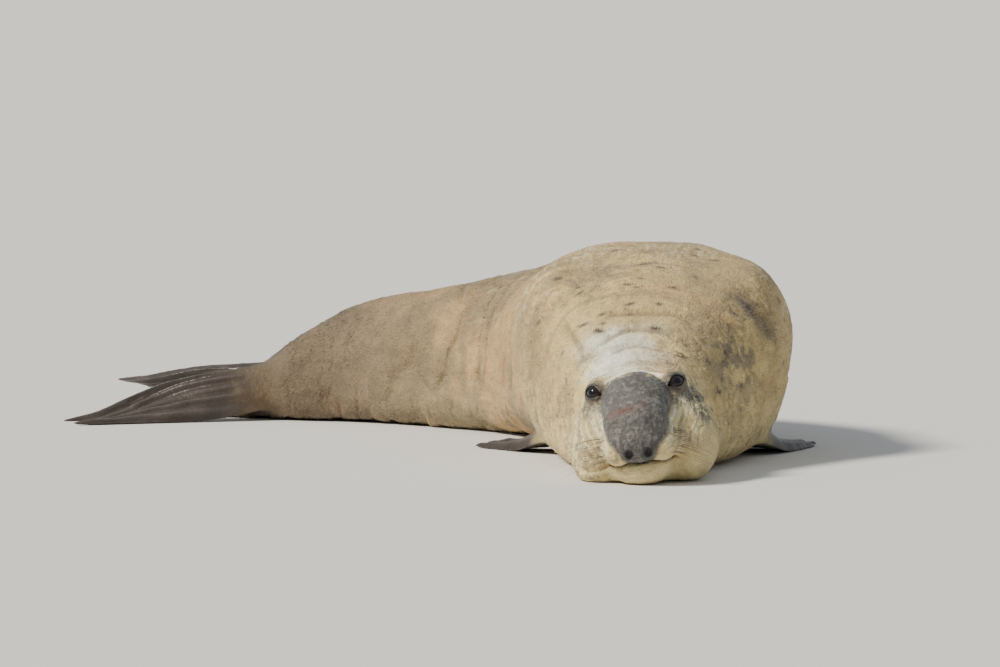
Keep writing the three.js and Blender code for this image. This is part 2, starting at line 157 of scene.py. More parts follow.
def station_curve(column):
    at, value = TRUNK[:, 0], TRUNK[:, column]
    around = (value[2:] - value[:-2]) / (at[2:] - at[:-2])
    ends = np.diff(value)[[0, -1]] / np.diff(at)[[0, -1]]
    slope = np.concatenate([ends[:1], around, ends[1:]])
    fine = np.linspace(at[0], at[-1], 1500)
    i = np.clip(np.searchsorted(at, fine, "right") - 1, 0, len(at) - 2)
    span, rise = at[i + 1] - at[i], value[i + 1] - value[i]
    t, a, b = (fine - at[i]) / span, slope[i] * span, slope[i + 1] * span
    return fine * LENGTH, value[i] + t * (a + t * (3 * rise - 2 * a - b + t * (a + b - 2 * rise)))


station_y, station_width = station_curve(1)
station_height = station_curve(2)[1]


def trunk_half(y):
    return np.interp(y, station_y, station_width) * GIRTH_WIDTH / 2


def trunk_height(y):
    return np.interp(y, station_y, station_height) * GIRTH_HEIGHT


def trunk_distance(p):
    x, y, z = p.T
    past = np.clip(np.maximum(station_y[0] - y, y - station_y[-1]) / ROUNDING, 0, 1)
    end = np.sqrt(np.maximum(1 - past ** 2, 1e-6))
    half, tall = trunk_half(y) * end, trunk_height(y)
    middle = tall * WIDEST
    above = z > middle
    reach = np.where(above, tall - middle, middle + PRESSED) * end
    n = np.where(above, ROUND_ABOVE, ROUND_BELOW)
    share = ((np.abs(x) / half) ** n + (np.abs(z - middle) / reach) ** n) ** (1 / n)
    return np.where(past >= 1, LENGTH, (share - 1) * np.minimum(half, reach))


def blend(a, b, k):
    h = np.maximum(k - np.abs(a - b), 0) / k
    return np.minimum(a, b) - h * h * k / 4


# the flesh over each shoulder and over each hip, which the hind flipper comes out of: middle,
# half sizes and lift in degrees, and how softly each runs into the trunk
SHOULDER, SHOULDER_SOFT = ((300, 1210, 400), (120, 250, 190), 8), 140
HAUNCH, HAUNCH_SOFT = ((98, 3275, 105), (98, 200, 97)), 60
HIPS_FROM, HEAD_TO = 2900, 1650

# the head's rounded forms, in its own frame: middle, half sizes, lift in degrees and softness
SKULL = {
    "throat": ((0, 430, 92), (222, 280, 146), 0, 70),
    "jowl": ((136, 270, 84), (86, 140, 100), 0, 70),
    "cranium": ((0, 420, 200), (182, 240, 165), 12, 60),
    "cheek": ((108, 330, 170), (84, 135, 105), 6, 60),
    "muzzle": ((0, 205, 180), (112, 165, 90), 20, 50),
    "brow": ((110, 300, 290), (48, 66, 38), 14, 40),
    "pad": ((62, 104, 120), (62, 84, 56), 10, 36),
    "lid": ((118, 266, 282), (38, 38, 38), 0, 18),
}
NOSE = {
    "bridge": ((0, 190, 240), (112, 150, 92), 22, 1),
    "lobe": ((0, 88, 194), (106, 86, 82), 28, 12),
    "tip": ((0, 54, 132), (92, 54, 64), 0, 30),
}
JAW = {
    "chin": ((0, 120, 46), (78, 66, 46), 0, 1),
    "jaw": ((0, 210, 62), (100, 150, 68), 4, 40),
}
UPPER_LIP = {form: SKULL[form] for form in ("muzzle", "pad")}
UNDER_JAW = {form: SKULL[form] for form in ("throat", "jowl")}
NOSE_SOFT, LIP_SOFT, JAW_SOFT, LIP_LINE = 10, 20, 44, 4
MOUTH_DEPTH, MOUTH_WIDTH = 7, 6
NOSTRIL_AT, EAR_AT = (30, 8, 100), (150, 400, 262)
HEAD_ROLL, HEAD_AXIS = math.radians(8), 280.0


def turned(p, angle):
    x, z = p[:, 0], p[:, 2] - HEAD_AXIS
    c, s = math.cos(angle), math.sin(angle)
    return np.stack([x * c + z * s, p[:, 1], HEAD_AXIS + z * c - x * s], -1)


def into_head(p):
    return turned(p, HEAD_ROLL)


def from_head(q):
    return turned(np.atleast_2d(q), -HEAD_ROLL)


def ellipsoid(q, at, size, lift=0):
    c, s = math.cos(math.radians(lift)), math.sin(math.radians(lift))
    x, dy, dz = np.abs(q[:, 0]) - at[0], q[:, 1] - at[1], q[:, 2] - at[2]
    r = np.stack([x, dy * c + dz * s, dz * c - dy * s], -1) / size
    k0 = np.sqrt((r ** 2).sum(-1))
    k1 = np.sqrt(((r / size) ** 2).sum(-1))
    return k0 * (k0 - 1) / np.maximum(k1, 1e-9)


def forms_distance(q, forms, d=LENGTH):
    for at, size, lift, soft in forms.values():
        d = blend(d, ellipsoid(q, at, size, lift), soft)
    return d


def unit(v):
    return v / np.linalg.norm(v, axis=-1, keepdims=True)


# the eye's place, and the almond that its lids leave open
EYE_AT, EYE_RADIUS = np.array([118.0, 266, 282]), 33.0
EYE_LOOKS = unit(np.array([0.55, -0.78, 0.3]))
EYE_ACROSS = unit(np.cross([0, 0, 1], EYE_LOOKS))
EYE_UP = np.cross(EYE_LOOKS, EYE_ACROSS)
SLANT = math.radians(12)
LID_HALF, UPPER_LID, LOWER_LID, LID_FLOOR = 30.0, 17.0, 13.0, 18


def seen_from_eye(q):
    r = np.stack([np.abs(q[:, 0]), q[:, 1], q[:, 2]], -1) - EYE_AT
    a, b = r @ EYE_ACROSS, r @ EYE_UP
    c, s = math.cos(SLANT), math.sin(SLANT)
    return a * c + b * s, b * c - a * s, r @ EYE_LOOKS


def carve(d, hole, k):
    return -blend(-d, hole, k)


def body_field(p):
    d = trunk_distance(p)
    rear, near = p[:, 1] > HIPS_FROM, p[:, 1] < HEAD_TO
    d[rear] = blend(d[rear], ellipsoid(p[rear], *HAUNCH), HAUNCH_SOFT)
    front = blend(d[near], ellipsoid(p[near], *SHOULDER), SHOULDER_SOFT)
    q = into_head(p[near])
    nose, jaw = forms_distance(q, NOSE), forms_distance(q, JAW)
    upper = blend(forms_distance(q, SKULL, front), nose, NOSE_SOFT)
    whole = blend(upper, blend(jaw, forms_distance(q, UNDER_JAW), JAW_SOFT), LIP_LINE)
    from_lips = blend(nose, forms_distance(q, UPPER_LIP), LIP_SOFT) - jaw
    mouth = np.exp(-(from_lips / MOUTH_WIDTH) ** 2) * smooth(235, 150, q[:, 1]) * smooth(4, 24, q[:, 2])
    whole = whole + MOUTH_DEPTH * mouth
    a, b, out = seen_from_eye(q)
    bow = 1 - np.clip(a / LID_HALF, -1, 1) ** 2
    opening = np.where(b > 0, b - UPPER_LID * bow, -b - LOWER_LID * bow) * 0.8
    opening = np.maximum(np.maximum(opening, np.abs(a) - LID_HALF), LID_FLOOR - out)
    whole = carve(whole, opening, 3)
    whole = carve(whole, ellipsoid(q, NOSTRIL_AT, (10, 22, 14)), 6)
    d[near] = carve(whole, ellipsoid(q, EAR_AT, (30, 7, 5)), 5)
    return d


# the hide lies inside the coat, and is pressed flat where the animal rests
COAT_DEPTH, PRESS_ROUNDING, RESTS_AT = 2.5, 14.0, 0.8


def hide(p):
    return -blend(-(body_field(p) + COAT_DEPTH), p[:, 2] - RESTS_AT, PRESS_ROUNDING)


# the hide is found on a grid that is finest round the head and opens out behind it
FINEST, COARSEST, BLOCK = 2.5, 3.0, 6
GRID_ACROSS, GRID_UP, GRID_BELOW = 216, 192, 3
GRID_PAST, AT_ONCE = 30, 400000


def spread(y):
    return 1 + (COARSEST - 1) * smooth(300, 900, y)


grid_y = [-float(GRID_PAST)]
while grid_y[-1] < LENGTH + GRID_PAST or len(grid_y) % BLOCK != 1:
    grid_y.append(grid_y[-1] + FINEST * float(spread(np.array(grid_y[-1]))))
grid_y = np.array(grid_y)
grid_x = (np.arange(GRID_ACROSS + 1) - GRID_ACROSS / 2) * FINEST
grid_z = (np.arange(GRID_UP + 1) - GRID_BELOW) * FINEST
grid_cells = (GRID_ACROSS, len(grid_y) - 1, GRID_UP)
CORNERS = [(a, b, c) for a in (0, 1) for b in (0, 1) for c in (0, 1)]


def grid_points(i, j, k):
    s = spread(grid_y[j])
    return np.stack([grid_x[i] * s, grid_y[j], grid_z[k] * s], -1)


def widened(cells):
    for axis in range(3):
        cells = np.repeat(cells, BLOCK, axis)
    return cells


def at_offset(array, shape, offset):
    return array[tuple(slice(o, o + n) for o, n in zip(offset, shape))]


# first coarsely, then finely only near the surface
nodes = np.meshgrid(*[np.arange(0, n + 1, BLOCK) for n in grid_cells], indexing="ij")
coarse = hide(grid_points(*[n.ravel() for n in nodes])).reshape(nodes[0].shape)
near = np.abs(coarse) < 1.3 * FINEST * BLOCK * spread(grid_y[::BLOCK])[None, :, None]
blocks = tuple(n - 1 for n in coarse.shape)
crossed = np.any([at_offset(near, blocks, o) for o in CORNERS], axis=0)
reach = np.pad(widened(coarse[:-1, :-1, :-1]), ((0, 1),) * 3, mode="edge").astype(np.float32)
wanted = np.zeros(reach.shape, bool)
for offset in CORNERS:
    at_offset(wanted, grid_cells, offset)[...] |= widened(crossed)
wanted_at = np.nonzero(wanted)
for start in range(0, len(wanted_at[0]), AT_ONCE):
    some = tuple(n[start:start + AT_ONCE] for n in wanted_at)
    reach[some] = hide(grid_points(*some))

# a square whose two opposite corners alone are inside is filled, so that the surface stays whole
inside = reach < 0
for _ in range(4):
    for axis in range(3):
        one, two = [np.eye(3, dtype=int)[(axis + k) % 3] for k in (1, 2)]
        shape = [n - int(one[k] + two[k]) for k, n in enumerate(inside.shape)]
        a, b, c, d = [at_offset(inside, shape, o) for o in (0 * one, one, one + two, two)]
        fill = (a & c & ~b & ~d) | (b & d & ~a & ~c)
        for corner in (a, b, c, d):
            corner[fill] = True
reach[inside & (reach >= 0)] = -1e-3

count = np.zeros(grid_cells, np.uint8)
for offset in CORNERS:
    count += at_offset(inside, grid_cells, offset)
cell = np.stack(np.nonzero((count > 0) & (count < 8)), 1)
number = np.full(grid_cells, -1, np.int32)
number[tuple(cell.T)] = np.arange(len(cell))
total, crossings = np.zeros((len(cell), 3)), np.zeros((len(cell), 1))
hide_faces = []
for axis in range(3):
    step, one, two = [np.eye(3, dtype=int)[(axis + k) % 3] for k in (0, 1, 2)]
    for offset in (0 * one, one, two, one + two):
        start = cell + offset
        f0, f1 = reach[tuple(start.T)], reach[tuple((start + step).T)]
        cross = (f0 < 0) != (f1 < 0)
        t = np.where(cross, f0 / np.where(cross, f0 - f1, 1), 0)[:, None]
        total += np.where(cross[:, None], start + t * step, 0)
        crossings += cross[:, None]
    shape = [n + 1 - int(step[k]) - 2 * int(one[k] + two[k]) for k, n in enumerate(grid_cells)]
    low = at_offset(inside, shape, one + two)
    high = at_offset(inside, shape, one + two + step)
    edge = np.stack(np.nonzero(low != high), 1)
    leaving = low[tuple(edge.T)]
    edge = edge + one + two
    ring = np.stack([number[tuple((edge - o).T)] for o in (0 * one, one, one + two, two)], 1)
    ring[~leaving] = ring[~leaving][:, ::-1]
    hide_faces.append(ring)
hide_faces = np.concatenate(hide_faces)
place = total / crossings
hide_y = np.interp(place[:, 1], np.arange(len(grid_y)), grid_y)
hide_points = np.stack([
    np.interp(place[:, 0], np.arange(len(grid_x)), grid_x) * spread(hide_y),
    hide_y,
    np.interp(place[:, 2], np.arange(len(grid_z)), grid_z) * spread(hide_y),
], -1)
del reach, wanted, wanted_at, inside, count, number


def face_edges(faces):
    corners = faces.shape[1]
    return np.concatenate([faces[:, [k, (k + 1) % corners]] for k in range(corners)])


def relax(points, edges, rounds, share=0.5, weight=1.0):
    n = len(points)
    degree = np.maximum(np.bincount(edges.ravel(), minlength=n), 1)[:, None]
    for _ in range(rounds):
        ends = [np.bincount(edges[:, i], points[edges[:, 1 - i], k], n) for k in range(3) for i in (0, 1)]
        middle = np.stack([ends[0] + ends[1], ends[2] + ends[3], ends[4] + ends[5]], -1) / degree
        points = points + share * weight * (middle - points)
    return points


def settle(points, rounds):
    for _ in range(rounds):
        d = hide(points)
        slope = np.stack([(hide(points + 0.6 * np.eye(3)[k]) - d) / 0.6 for k in range(3)], -1)
        move = slope * (d / np.maximum((slope ** 2).sum(-1), 0.05))[:, None]
        points = points - move * np.minimum(1, 5 / np.maximum(np.linalg.norm(move, axis=1), 1e-9))[:, None]
    return points


hide_edges = face_edges(hide_faces)
hide_points = settle(relax(hide_points, hide_edges, 2), 2)
hide_points = settle(relax(hide_points, hide_edges, 1), 1)

# The flippers are blades with five digits raised on both faces and a thick soft rim. Sizes are
# for the left side: w runs across a blade from -1 to 1 and t runs along it from 0 to 1. How each
# one lies: its form, side, root, swing outward, lean at the root and the tip, and drop.
FORE = {
    "columns": 120, "rows": 84, "length": 440, "half_width": (66, 98, 100, 72),
    "half_depth": (46, 26, 14, 6), "digits": (1, 0.98, 0.92, 0.83, 0.7), "ridge": 4.5, "notch": 0.06,
}
HIND = {
    "columns": 132, "rows": 130, "length": 820, "half_width": (82, 80, 100, 104),
    "half_depth": (56, 34, 14, 5), "digits": (1, 0.88, 0.83, 0.86, 0.98), "ridge": 5, "notch": 0.045,
}
LIES = [
    ("fore_left", FORE, 1, (338, 1110, 40), 27, (80, 90), 40),
    ("fore_right", FORE, -1, (330, 1120, 40), 34, (80, 90), 40),
    ("hind_left", HIND, 1, (96, 3220, 46), 36, (26, 64), 44),
    ("hind_right", HIND, -1, (100, 3285, 46), 21, (26, 92), 46),
]
THINNEST, RIM, OUTER_DIGIT, DIGIT_GAP = 4.0, 1.2, 0.86, 0.43


def along_blade(values, t):
    i = np.minimum(np.floor(t * 3), 2).astype(int)
    f = t * 3 - i
    f = smooth(0, 1, f) * 0.35 + f * 0.65
    values = np.array(values, float)
    return values[i] + (values[i + 1] - values[i]) * f


def digit_share(w):
    return np.minimum(sum(np.exp(-((w + OUTER_DIGIT - DIGIT_GAP * i) / 0.1) ** 2) for i in range(5)), 1)


def digit_length(shape, w):
    length = np.interp((w + OUTER_DIGIT) / DIGIT_GAP, range(5), shape["digits"])
    corner = np.maximum(np.abs(w) - OUTER_DIGIT, 0) / 0.14
    return length - shape["notch"] * (1 - digit_share(w)) - 0.05 * corner ** 2


def keep_above(p, least):
    p[:, 2] = np.maximum(p[:, 2], least)


def blade_points(shape, side, root, swing, leans, drop, w, t, face):
    turn = math.radians(swing)
    lean = np.radians(leans[0] + (leans[1] - leans[0]) * smooth(0.2, 1, t))
    along = np.array([math.sin(turn), math.cos(turn), 0])
    inward = np.array([-math.cos(turn), math.sin(turn), 0])
    across = inward * np.sin(lean)[:, None] + np.array([0, 0, 1]) * np.cos(lean)[:, None]
    out = np.cross(along, across)
    length = shape["length"] * t * (1 + (digit_length(shape, w) - 1) * t)
    rounded = np.sqrt(np.maximum(1 - w ** 4, 0))
    bones = shape["ridge"] * digit_share(w) * smooth(0.15, 0.5, t)
    knuckle = 1 + 0.25 * np.cos(t * 34) * smooth(0.3, 0.6, t)
    spine = along_blade(shape["half_depth"], t) * rounded
    depth = np.maximum(spine + bones, THINNEST) + RIM * smooth(0.75, 1, np.abs(w))
    height = root[2] - drop * smooth(0, 0.55, t) + depth * np.abs(out[:, 2])
    end = np.sqrt(np.maximum(1 - t ** 40, 0.04))
    depth = (depth + bones * (knuckle - 1)) * end
    p = np.stack([np.full(len(t), root[0]), np.full(len(t), root[1]), height], -1)
    p = p + along * length[:, None] + across * ((w + 1) * along_blade(shape["half_width"], t))[:, None]
    p = p + out * (face * depth)[:, None]
    keep_above(p, RESTS_AT)
    p[:, 0] *= side
    return p


def tube_quads(rows, sides):
    """The quads of a tube, from each ring of points to the next one along it."""
    ring, rings = np.arange(sides), np.arange(rows)[:, None] * sides
    on = (ring + 1) % sides
    return np.stack([rings + ring, rings + on, rings + sides + on, rings + sides + ring], -1).reshape(-1, 4)


def facing_out(side, *face_sets):
    """Faces turned round where their points are mirrored."""
    return [faces if side > 0 else faces[:, ::-1] for faces in face_sets]


def blade_mesh(shape, side, *lies):
    columns, rows = shape["columns"], shape["rows"]
    s = np.arange(columns) * 2 * math.pi / columns
    c, n = np.cos(s), np.sin(s)
    w_loop = np.sign(c) * np.abs(c) ** 0.7
    face_loop = np.sign(n) * np.abs(n) ** 0.45
    t = np.repeat(np.linspace(0, 1, rows + 1), columns)
    w, face = np.tile(w_loop, rows + 1), np.tile(face_loop, rows + 1)
    points = blade_points(shape, side, *lies, w, t, face)
    half = np.arange(1, columns // 2 - 1)
    zip_up = np.stack([half, half + 1, columns - half - 1, columns - half], -1)
    tips = np.array([[0, 1, columns - 1], [columns // 2, columns // 2 + 1, columns // 2 - 1]])
    quads = np.concatenate([tube_quads(rows, columns), zip_up[:, ::-1], zip_up + rows * columns])
    ends = np.concatenate([tips[:, ::-1], tips + rows * columns])
    return points, facing_out(side, quads, ends), w, t


def mesh_of(name, points, *face_sets):
    mesh = bpy.data.meshes.new(name)
    sizes = np.concatenate([np.full(len(f), f.shape[1]) for f in face_sets])
    corners = np.concatenate([f.ravel() for f in face_sets])
    mesh.vertices.add(len(points))
    mesh.vertices.foreach_set("co", np.asarray(points, np.float32).ravel())
    mesh.loops.add(len(corners))
    mesh.loops.foreach_set("vertex_index", corners.astype(np.int32))
    mesh.polygons.add(len(sizes))
    mesh.polygons.foreach_set("loop_start", (np.cumsum(sizes) - sizes).astype(np.int32))
    mesh.update(calc_edges=True)
    return mesh


def read(mesh, kind, field, width, number_type=np.float32):
    values = np.empty(len(getattr(mesh, kind)) * width, number_type)
    getattr(mesh, kind).foreach_get(field, values)
    return values.reshape(-1, width) if width > 1 else values


hull = placed("hide_shape", mesh_of("hide_shape", hide_points, hide_faces))
blade_spots, blade_w, blade_t, blade_kind = [], [], [], []
for name, shape, side, *lies in LIES:
    points, faces, w, t = blade_mesh(shape, side, *lies)
    join = hull.modifiers.new(name, "BOOLEAN")
    join.operation, join.solver = "UNION", "MANIFOLD"
    join.object = placed(name, mesh_of(name, points, *faces))
    blade_spots.append(points)
    blade_w.append(w)
    blade_t.append(t)
    blade_kind.append(np.full(len(t), 1.0 if shape is HIND else 0.0))
depsgraph = bpy.context.evaluated_depsgraph_get()
skin_mesh = bpy.data.meshes.new_from_object(hull.evaluated_get(depsgraph))
for name in ["hide_shape"] + [lie[0] for lie in LIES]:
    bpy.data.objects.remove(bpy.data.objects[name])
skin_mesh.name = "skin"
points = read(skin_mesh, "vertices", "co", 3).astype(float)

# which vertices lie on or near a flipper, and where on it
NOWHERE_NEAR, JOINT_REACH, JOINT_ROUNDS = 400.0, 150, 90
FORE_FROM, FORE_TO, FORE_TOP, HIND_FROM = 950, 1700, 330, 2950
blade_spots, blade_w = np.concatenate(blade_spots), np.concatenate(blade_w)
blade_t, blade_kind = np.concatenate(blade_t), np.concatenate(blade_kind)
outside = np.nonzero(hide(blade_spots) > -4)[0]
tree = kdtree.KDTree(len(outside))
for place, index in enumerate(outside):
    tree.insert(blade_spots[index], place)
tree.balance()
flipper_gap = np.full(len(points), NOWHERE_NEAR)
flipper_w, flipper_t, flipper_hind = np.zeros((3, len(points)))
by_fore = (points[:, 1] > FORE_FROM) & (points[:, 1] < FORE_TO) & (points[:, 2] < FORE_TOP)
close = by_fore | (points[:, 1] > HIND_FROM)
for index in np.nonzero(close)[0]:
    _, found, gap = tree.find(points[index])
    blade_index = outside[found]
    flipper_gap[index] = gap
    flipper_w[index], flipper_t[index] = blade_w[blade_index], blade_t[blade_index]
    flipper_hind[index] = blade_kind[blade_index]

# each flipper's root is rounded into the body
joint_part = np.nonzero(flipper_gap < JOINT_REACH)[0]
number_in_part = np.full(len(points), -1)
number_in_part[joint_part] = np.arange(len(joint_part))
skin_mesh.calc_loop_triangles()
joint_edges = number_in_part[face_edges(read(skin_mesh, "loop_triangles", "vertices", 3, np.int32))]
joint_edges = joint_edges[(joint_edges >= 0).all(1)]
at_joint = smooth(64, 14, flipper_gap) * smooth(60 + 20 * flipper_hind, 14, np.abs(hide(points)))
points[joint_part] = relax(points[joint_part], joint_edges, JOINT_ROUNDS, 0.5, at_joint[joint_part, None])
keep_above(points, 0.5)
on_flipper = smooth(70, 8, flipper_gap)

# Folds, wrinkles and dents in the hide, as heights in millimetres
random = np.random.default_rng(11)
shuffle = random.permutation(256)
levels = random.uniform(-1, 1, 256).astype(np.float32)


def noise(p, size, seed=0):
    q = (p / np.asarray(size, float)).astype(np.float32) + np.float32(seed * 17.31)
    base = np.floor(q)
    f = q - base
    fade = (f * f * f * (f * (f * 6 - 15) + 10)).T
    i, j, k = base.astype(np.int32).T
    corners = []
    for di in (0, 1):
        row = shuffle[(i + di) & 255] + j
        for dj in (0, 1):
            column = shuffle[(row + dj) & 255] + k
            a, b = levels[column & 255], levels[(column + 1) & 255]
            corners.append(a + (b - a) * fade[2])
    a = corners[0] + (corners[1] - corners[0]) * fade[1]
    b = corners[2] + (corners[3] - corners[2]) * fade[1]
    return 1.2 * (a + (b - a) * fade[0])


def rough(p, size, octaves, seed=0):
    size = np.asarray(size, float)
    return sum(noise(p, size / 2 ** n, seed + n) / 2 ** n for n in range(octaves))


def wrinkles(p, size, seed, width=0.16):
    """Thin crooked creases, long where the sizes are long: 1 in a crease and 0 beside it."""
    bent = noise(p + 0.35 * np.min(size) * noise(p, np.min(size), seed + 1)[:, None], size, seed)
    return np.maximum(1 - np.abs(bent) / width, 0) ** 1.5


def line_gap(q, row):
    """Distance to a row of points, and how far along it the nearest one is, from 0 to 1."""
    row = np.array(row, float)
    best, where = np.full(len(q), 1e9), np.zeros(len(q))
    for n, (a, b) in enumerate(zip(row[:-1], row[1:])):
        t = np.clip((q - a) @ (b - a) / ((b - a) @ (b - a)), 0, 1)
        gap = np.linalg.norm(q - a - t[:, None] * (b - a), axis=1)
        closer = gap < best
        best[closer], where[closer] = gap[closer], ((n + t) / (len(row) - 1))[closer]
    return best, where


def crease(q, row, width):
    row = np.array(row, float)
    mark = np.zeros(len(q))
    near = ((q > row.min(0) - 3 * width) & (q < row.max(0) + 3 * width)).all(1)
    gap, where = line_gap(q[near], row)
    fading = np.sqrt(np.clip(np.sin(math.pi * (0.03 + 0.94 * where)), 0, 1))
    mark[near] = np.exp(-(gap / width) ** 2) * fading
    return mark


def over(mask, rule, *arrays):
    """A rule worked out only where the mask isn't nothing, and scaled by it."""
    made = np.zeros(len(mask))
    some = mask > 0.003
    if some.any():
        made[some] = mask[some] * rule(*[a[some] for a in arrays])
    return made


def on_head(values):
    """Values for the head's points, with nothing elsewhere."""
    whole = np.zeros(len(points))
    whole[head_part] = values
    return whole


NECK_AT, HEAD_END = 400, 620
skin_head = into_head(points)
y, z = points[:, 1], points[:, 2]
side_height = z / trunk_height(np.maximum(y, NECK_AT))
head_part = y < HEAD_END
skin_q = skin_head[head_part]
both_sides = np.stack([np.abs(skin_q[:, 0]), skin_q[:, 1], skin_q[:, 2]], -1)
eye_a, eye_b, eye_out = seen_from_eye(skin_q)
lid_ring = np.hypot(eye_a / 1.2, eye_b * 1.15)
lids = smooth(66, 36, lid_ring) * smooth(-5, 8, eye_out)
nose_gap, jaw_gap = forms_distance(skin_q, NOSE), forms_distance(skin_q, JAW)
nose_part = smooth(10, -1, nose_gap)

# folds over and under each eye, down beside the nose and at the mouth's corner
UPPER_FOLD = [(86, 246, 296), (98, 240, 316), (122, 246, 328), (148, 266, 324), (164, 290, 306)]
LOWER_FOLD = [(84, 236, 274), (98, 228, 252), (122, 238, 240), (148, 262, 248), (162, 284, 266)]
MOUTH_CORNER = [(58, 96, 74), (84, 116, 72), (104, 148, 75), (120, 184, 86)]
CHEEK_FOLD = [(92, 226, 284), (108, 206, 252), (124, 180, 212), (134, 152, 168), (128, 118, 126)]
NOSE_CREASE = [(-92, 96, 220), (-62, 50, 232), (-24, 26, 241), (22, 24, 249), (66, 54, 246)]
height = np.zeros(len(skin_q))
for depth, row, width in (
    (3.5, UPPER_FOLD, 4.5), (2.8, LOWER_FOLD, 4.5), (2.0, np.array(LOWER_FOLD) + (4, 0, -17), 5),
    (4.0, MOUTH_CORNER, 5),
):
    height -= depth * crease(both_sides, row, width)
for n in range(4):
    unsteady = both_sides + noise(skin_q, 30, 60 + n)[:, None] * 3
    height -= (4.6 - 0.8 * n) * crease(unsteady, CHEEK_FOLD + np.array([9.0, 7, 0]) * n, 5)
for n, (up, depth) in enumerate([(0, 4.5), (24, 2.0), (-19, 2.4), (46, 1.6), (-38, 1.6), (70, 1.2)]):
    wave = 5 * noise(skin_q, 26, 40 + n)[:, None] * np.array([0, 0, 1])
    height -= depth * crease(skin_q + wave, NOSE_CREASE + np.array([0, 0.1 * up, up]), 5)
height -= over(nose_part, lambda q: 1.6 * wrinkles(q, (34, 30, 9), 3, 0.3), skin_q)
height += over(nose_part, lambda q: 1.2 * rough(q, 10, 3, 9), skin_q)
height -= over(lids, lambda r, q: 1.5 * np.sin(r * 0.8 + 2 * noise(q, 26, 12)) ** 2, lid_ring, skin_q)
round_nose = np.arctan2(skin_q[:, 0], skin_q[:, 2] - 190)
from_nose = nose_gap + 9 * noise(skin_q, 45, 13)
fold_place = np.stack([from_nose, round_nose * 120, np.zeros(len(skin_q))], -1)
beside_nose = smooth(2, 14, nose_gap) * smooth(190, 60, nose_gap) * smooth(40, 130, skin_q[:, 2]) * (1 - lids)
height -= over(beside_nose, lambda p: 3.4 * wrinkles(p, (15, 75, 9), 14, 0.2), fold_place)
nose_rim = np.exp(-((nose_gap - 8) / 5.5) ** 2) * smooth(110, 170, skin_q[:, 2]) * (1 - lids)
height += 4.5 * nose_rim - 3.2 * np.exp(-((nose_gap + 1) / 3) ** 2) * smooth(110, 170, skin_q[:, 2])
height += (1 - lids) * 0.9 * rough(skin_q, 24, 3, 21)
height -= 2.2 * wrinkles(skin_q, (90, 26, 60), 23, 0.12) * smooth(330, 480, skin_q[:, 1]) * (1 - nose_part)
height -= 2.5 * wrinkles(skin_q, (60, 60, 24), 25, 0.14) * smooth(200, 60, skin_q[:, 2]) * (1 - nose_part)
crusty = smooth(1.3, 0.6, np.sqrt((((both_sides - (196, 320, 200)) / (60, 110, 70)) ** 2).sum(-1)))
height += over(crusty, lambda q: 3.5 * rough(q, (14, 18, 12), 3, 28), skin_q)
relief = on_head(height)


def press(where, depth, size, seed, width):
    """Presses a set of wrinkles into the body."""
    relief[:] -= over(where, lambda p: depth * wrinkles(p, size, seed, width), points)


# the neck's rolls and nape creases, the folds on the inside of the bend, and the wrinkled hips
NECK_FOLDS = [
    [(-150, 530, 372), (-176, 570, 350), (-206, 644, 400), (-240, 762, 440), (-262, 850, 470)],
    [(-130, 470, 385), (-72, 500, 392), (0, 516, 402), (80, 485, 384)],
    [(-140, 560, 398), (-60, 598, 438), (20, 610, 450), (100, 600, 436)],
    [(-150, 690, 470), (-20, 702, 492), (90, 700, 486), (170, 690, 455)],
]
SHOULDER_DENT = [(299, 964, 522), (344, 955, 475), (384, 981, 426)]
behind = smooth(430, 620, y)
bare_body = behind * (1 - on_flipper)
low = smooth(0.8, 0.25, side_height)
neck = bare_body * smooth(1250, 900, y)
press(neck * (0.35 + 0.65 * low), 7, (230, 62, 230), 33, 0.17)
press(neck, 3, (150, 30, 150), 35, 0.1)
neck_wave = 7 * noise(points, 70, 37)[:, None]
for row in NECK_FOLDS:
    relief -= 9 * crease(points + neck_wave, row, 11)
inner_side = bare_body * smooth(60, -220, points[:, 0]) * smooth(1250, 1700, y) * smooth(3300, 2900, y)
press(inner_side, 11, (420, 95, 420), 39, 0.2)
press(bare_body * smooth(0.3, 0.06, side_height), 6, (200, 60, 300), 41, 0.2)
press(bare_body * smooth(2950, 3250, y), 5, (150, 40, 150), 43, 0.2)
relief += over(
    bare_body, lambda p: 7 * noise(p, (190, 340, 190), 45) + 1.4 * rough(p, (50, 80, 50), 3, 47), points
)
press(bare_body, 1.6, (60, 26, 60), 49, 0.1)
dent = line_gap(points, SHOULDER_DENT)[0]
relief -= 10 * np.exp(-(dent / 42) ** 2)
webs = on_flipper * (1 - digit_share(flipper_w)) * smooth(0.3, 0.7, flipper_t)
relief += over(webs, lambda w, p: 1.0 * np.sin(w * 44 + 3 * noise(p, 80, 51)), flipper_w, points)
relief += over(on_flipper, lambda p: 0.7 * rough(p, 22, 2, 53), points)

skin_mesh.vertices.foreach_set("co", points.astype(np.float32).ravel())
skin_mesh.update()
normals = read(skin_mesh, "vertices", "normal", 3).astype(float)
unfolded = points
points = points + normals * relief[:, None]
keep_above(points, 0.4)

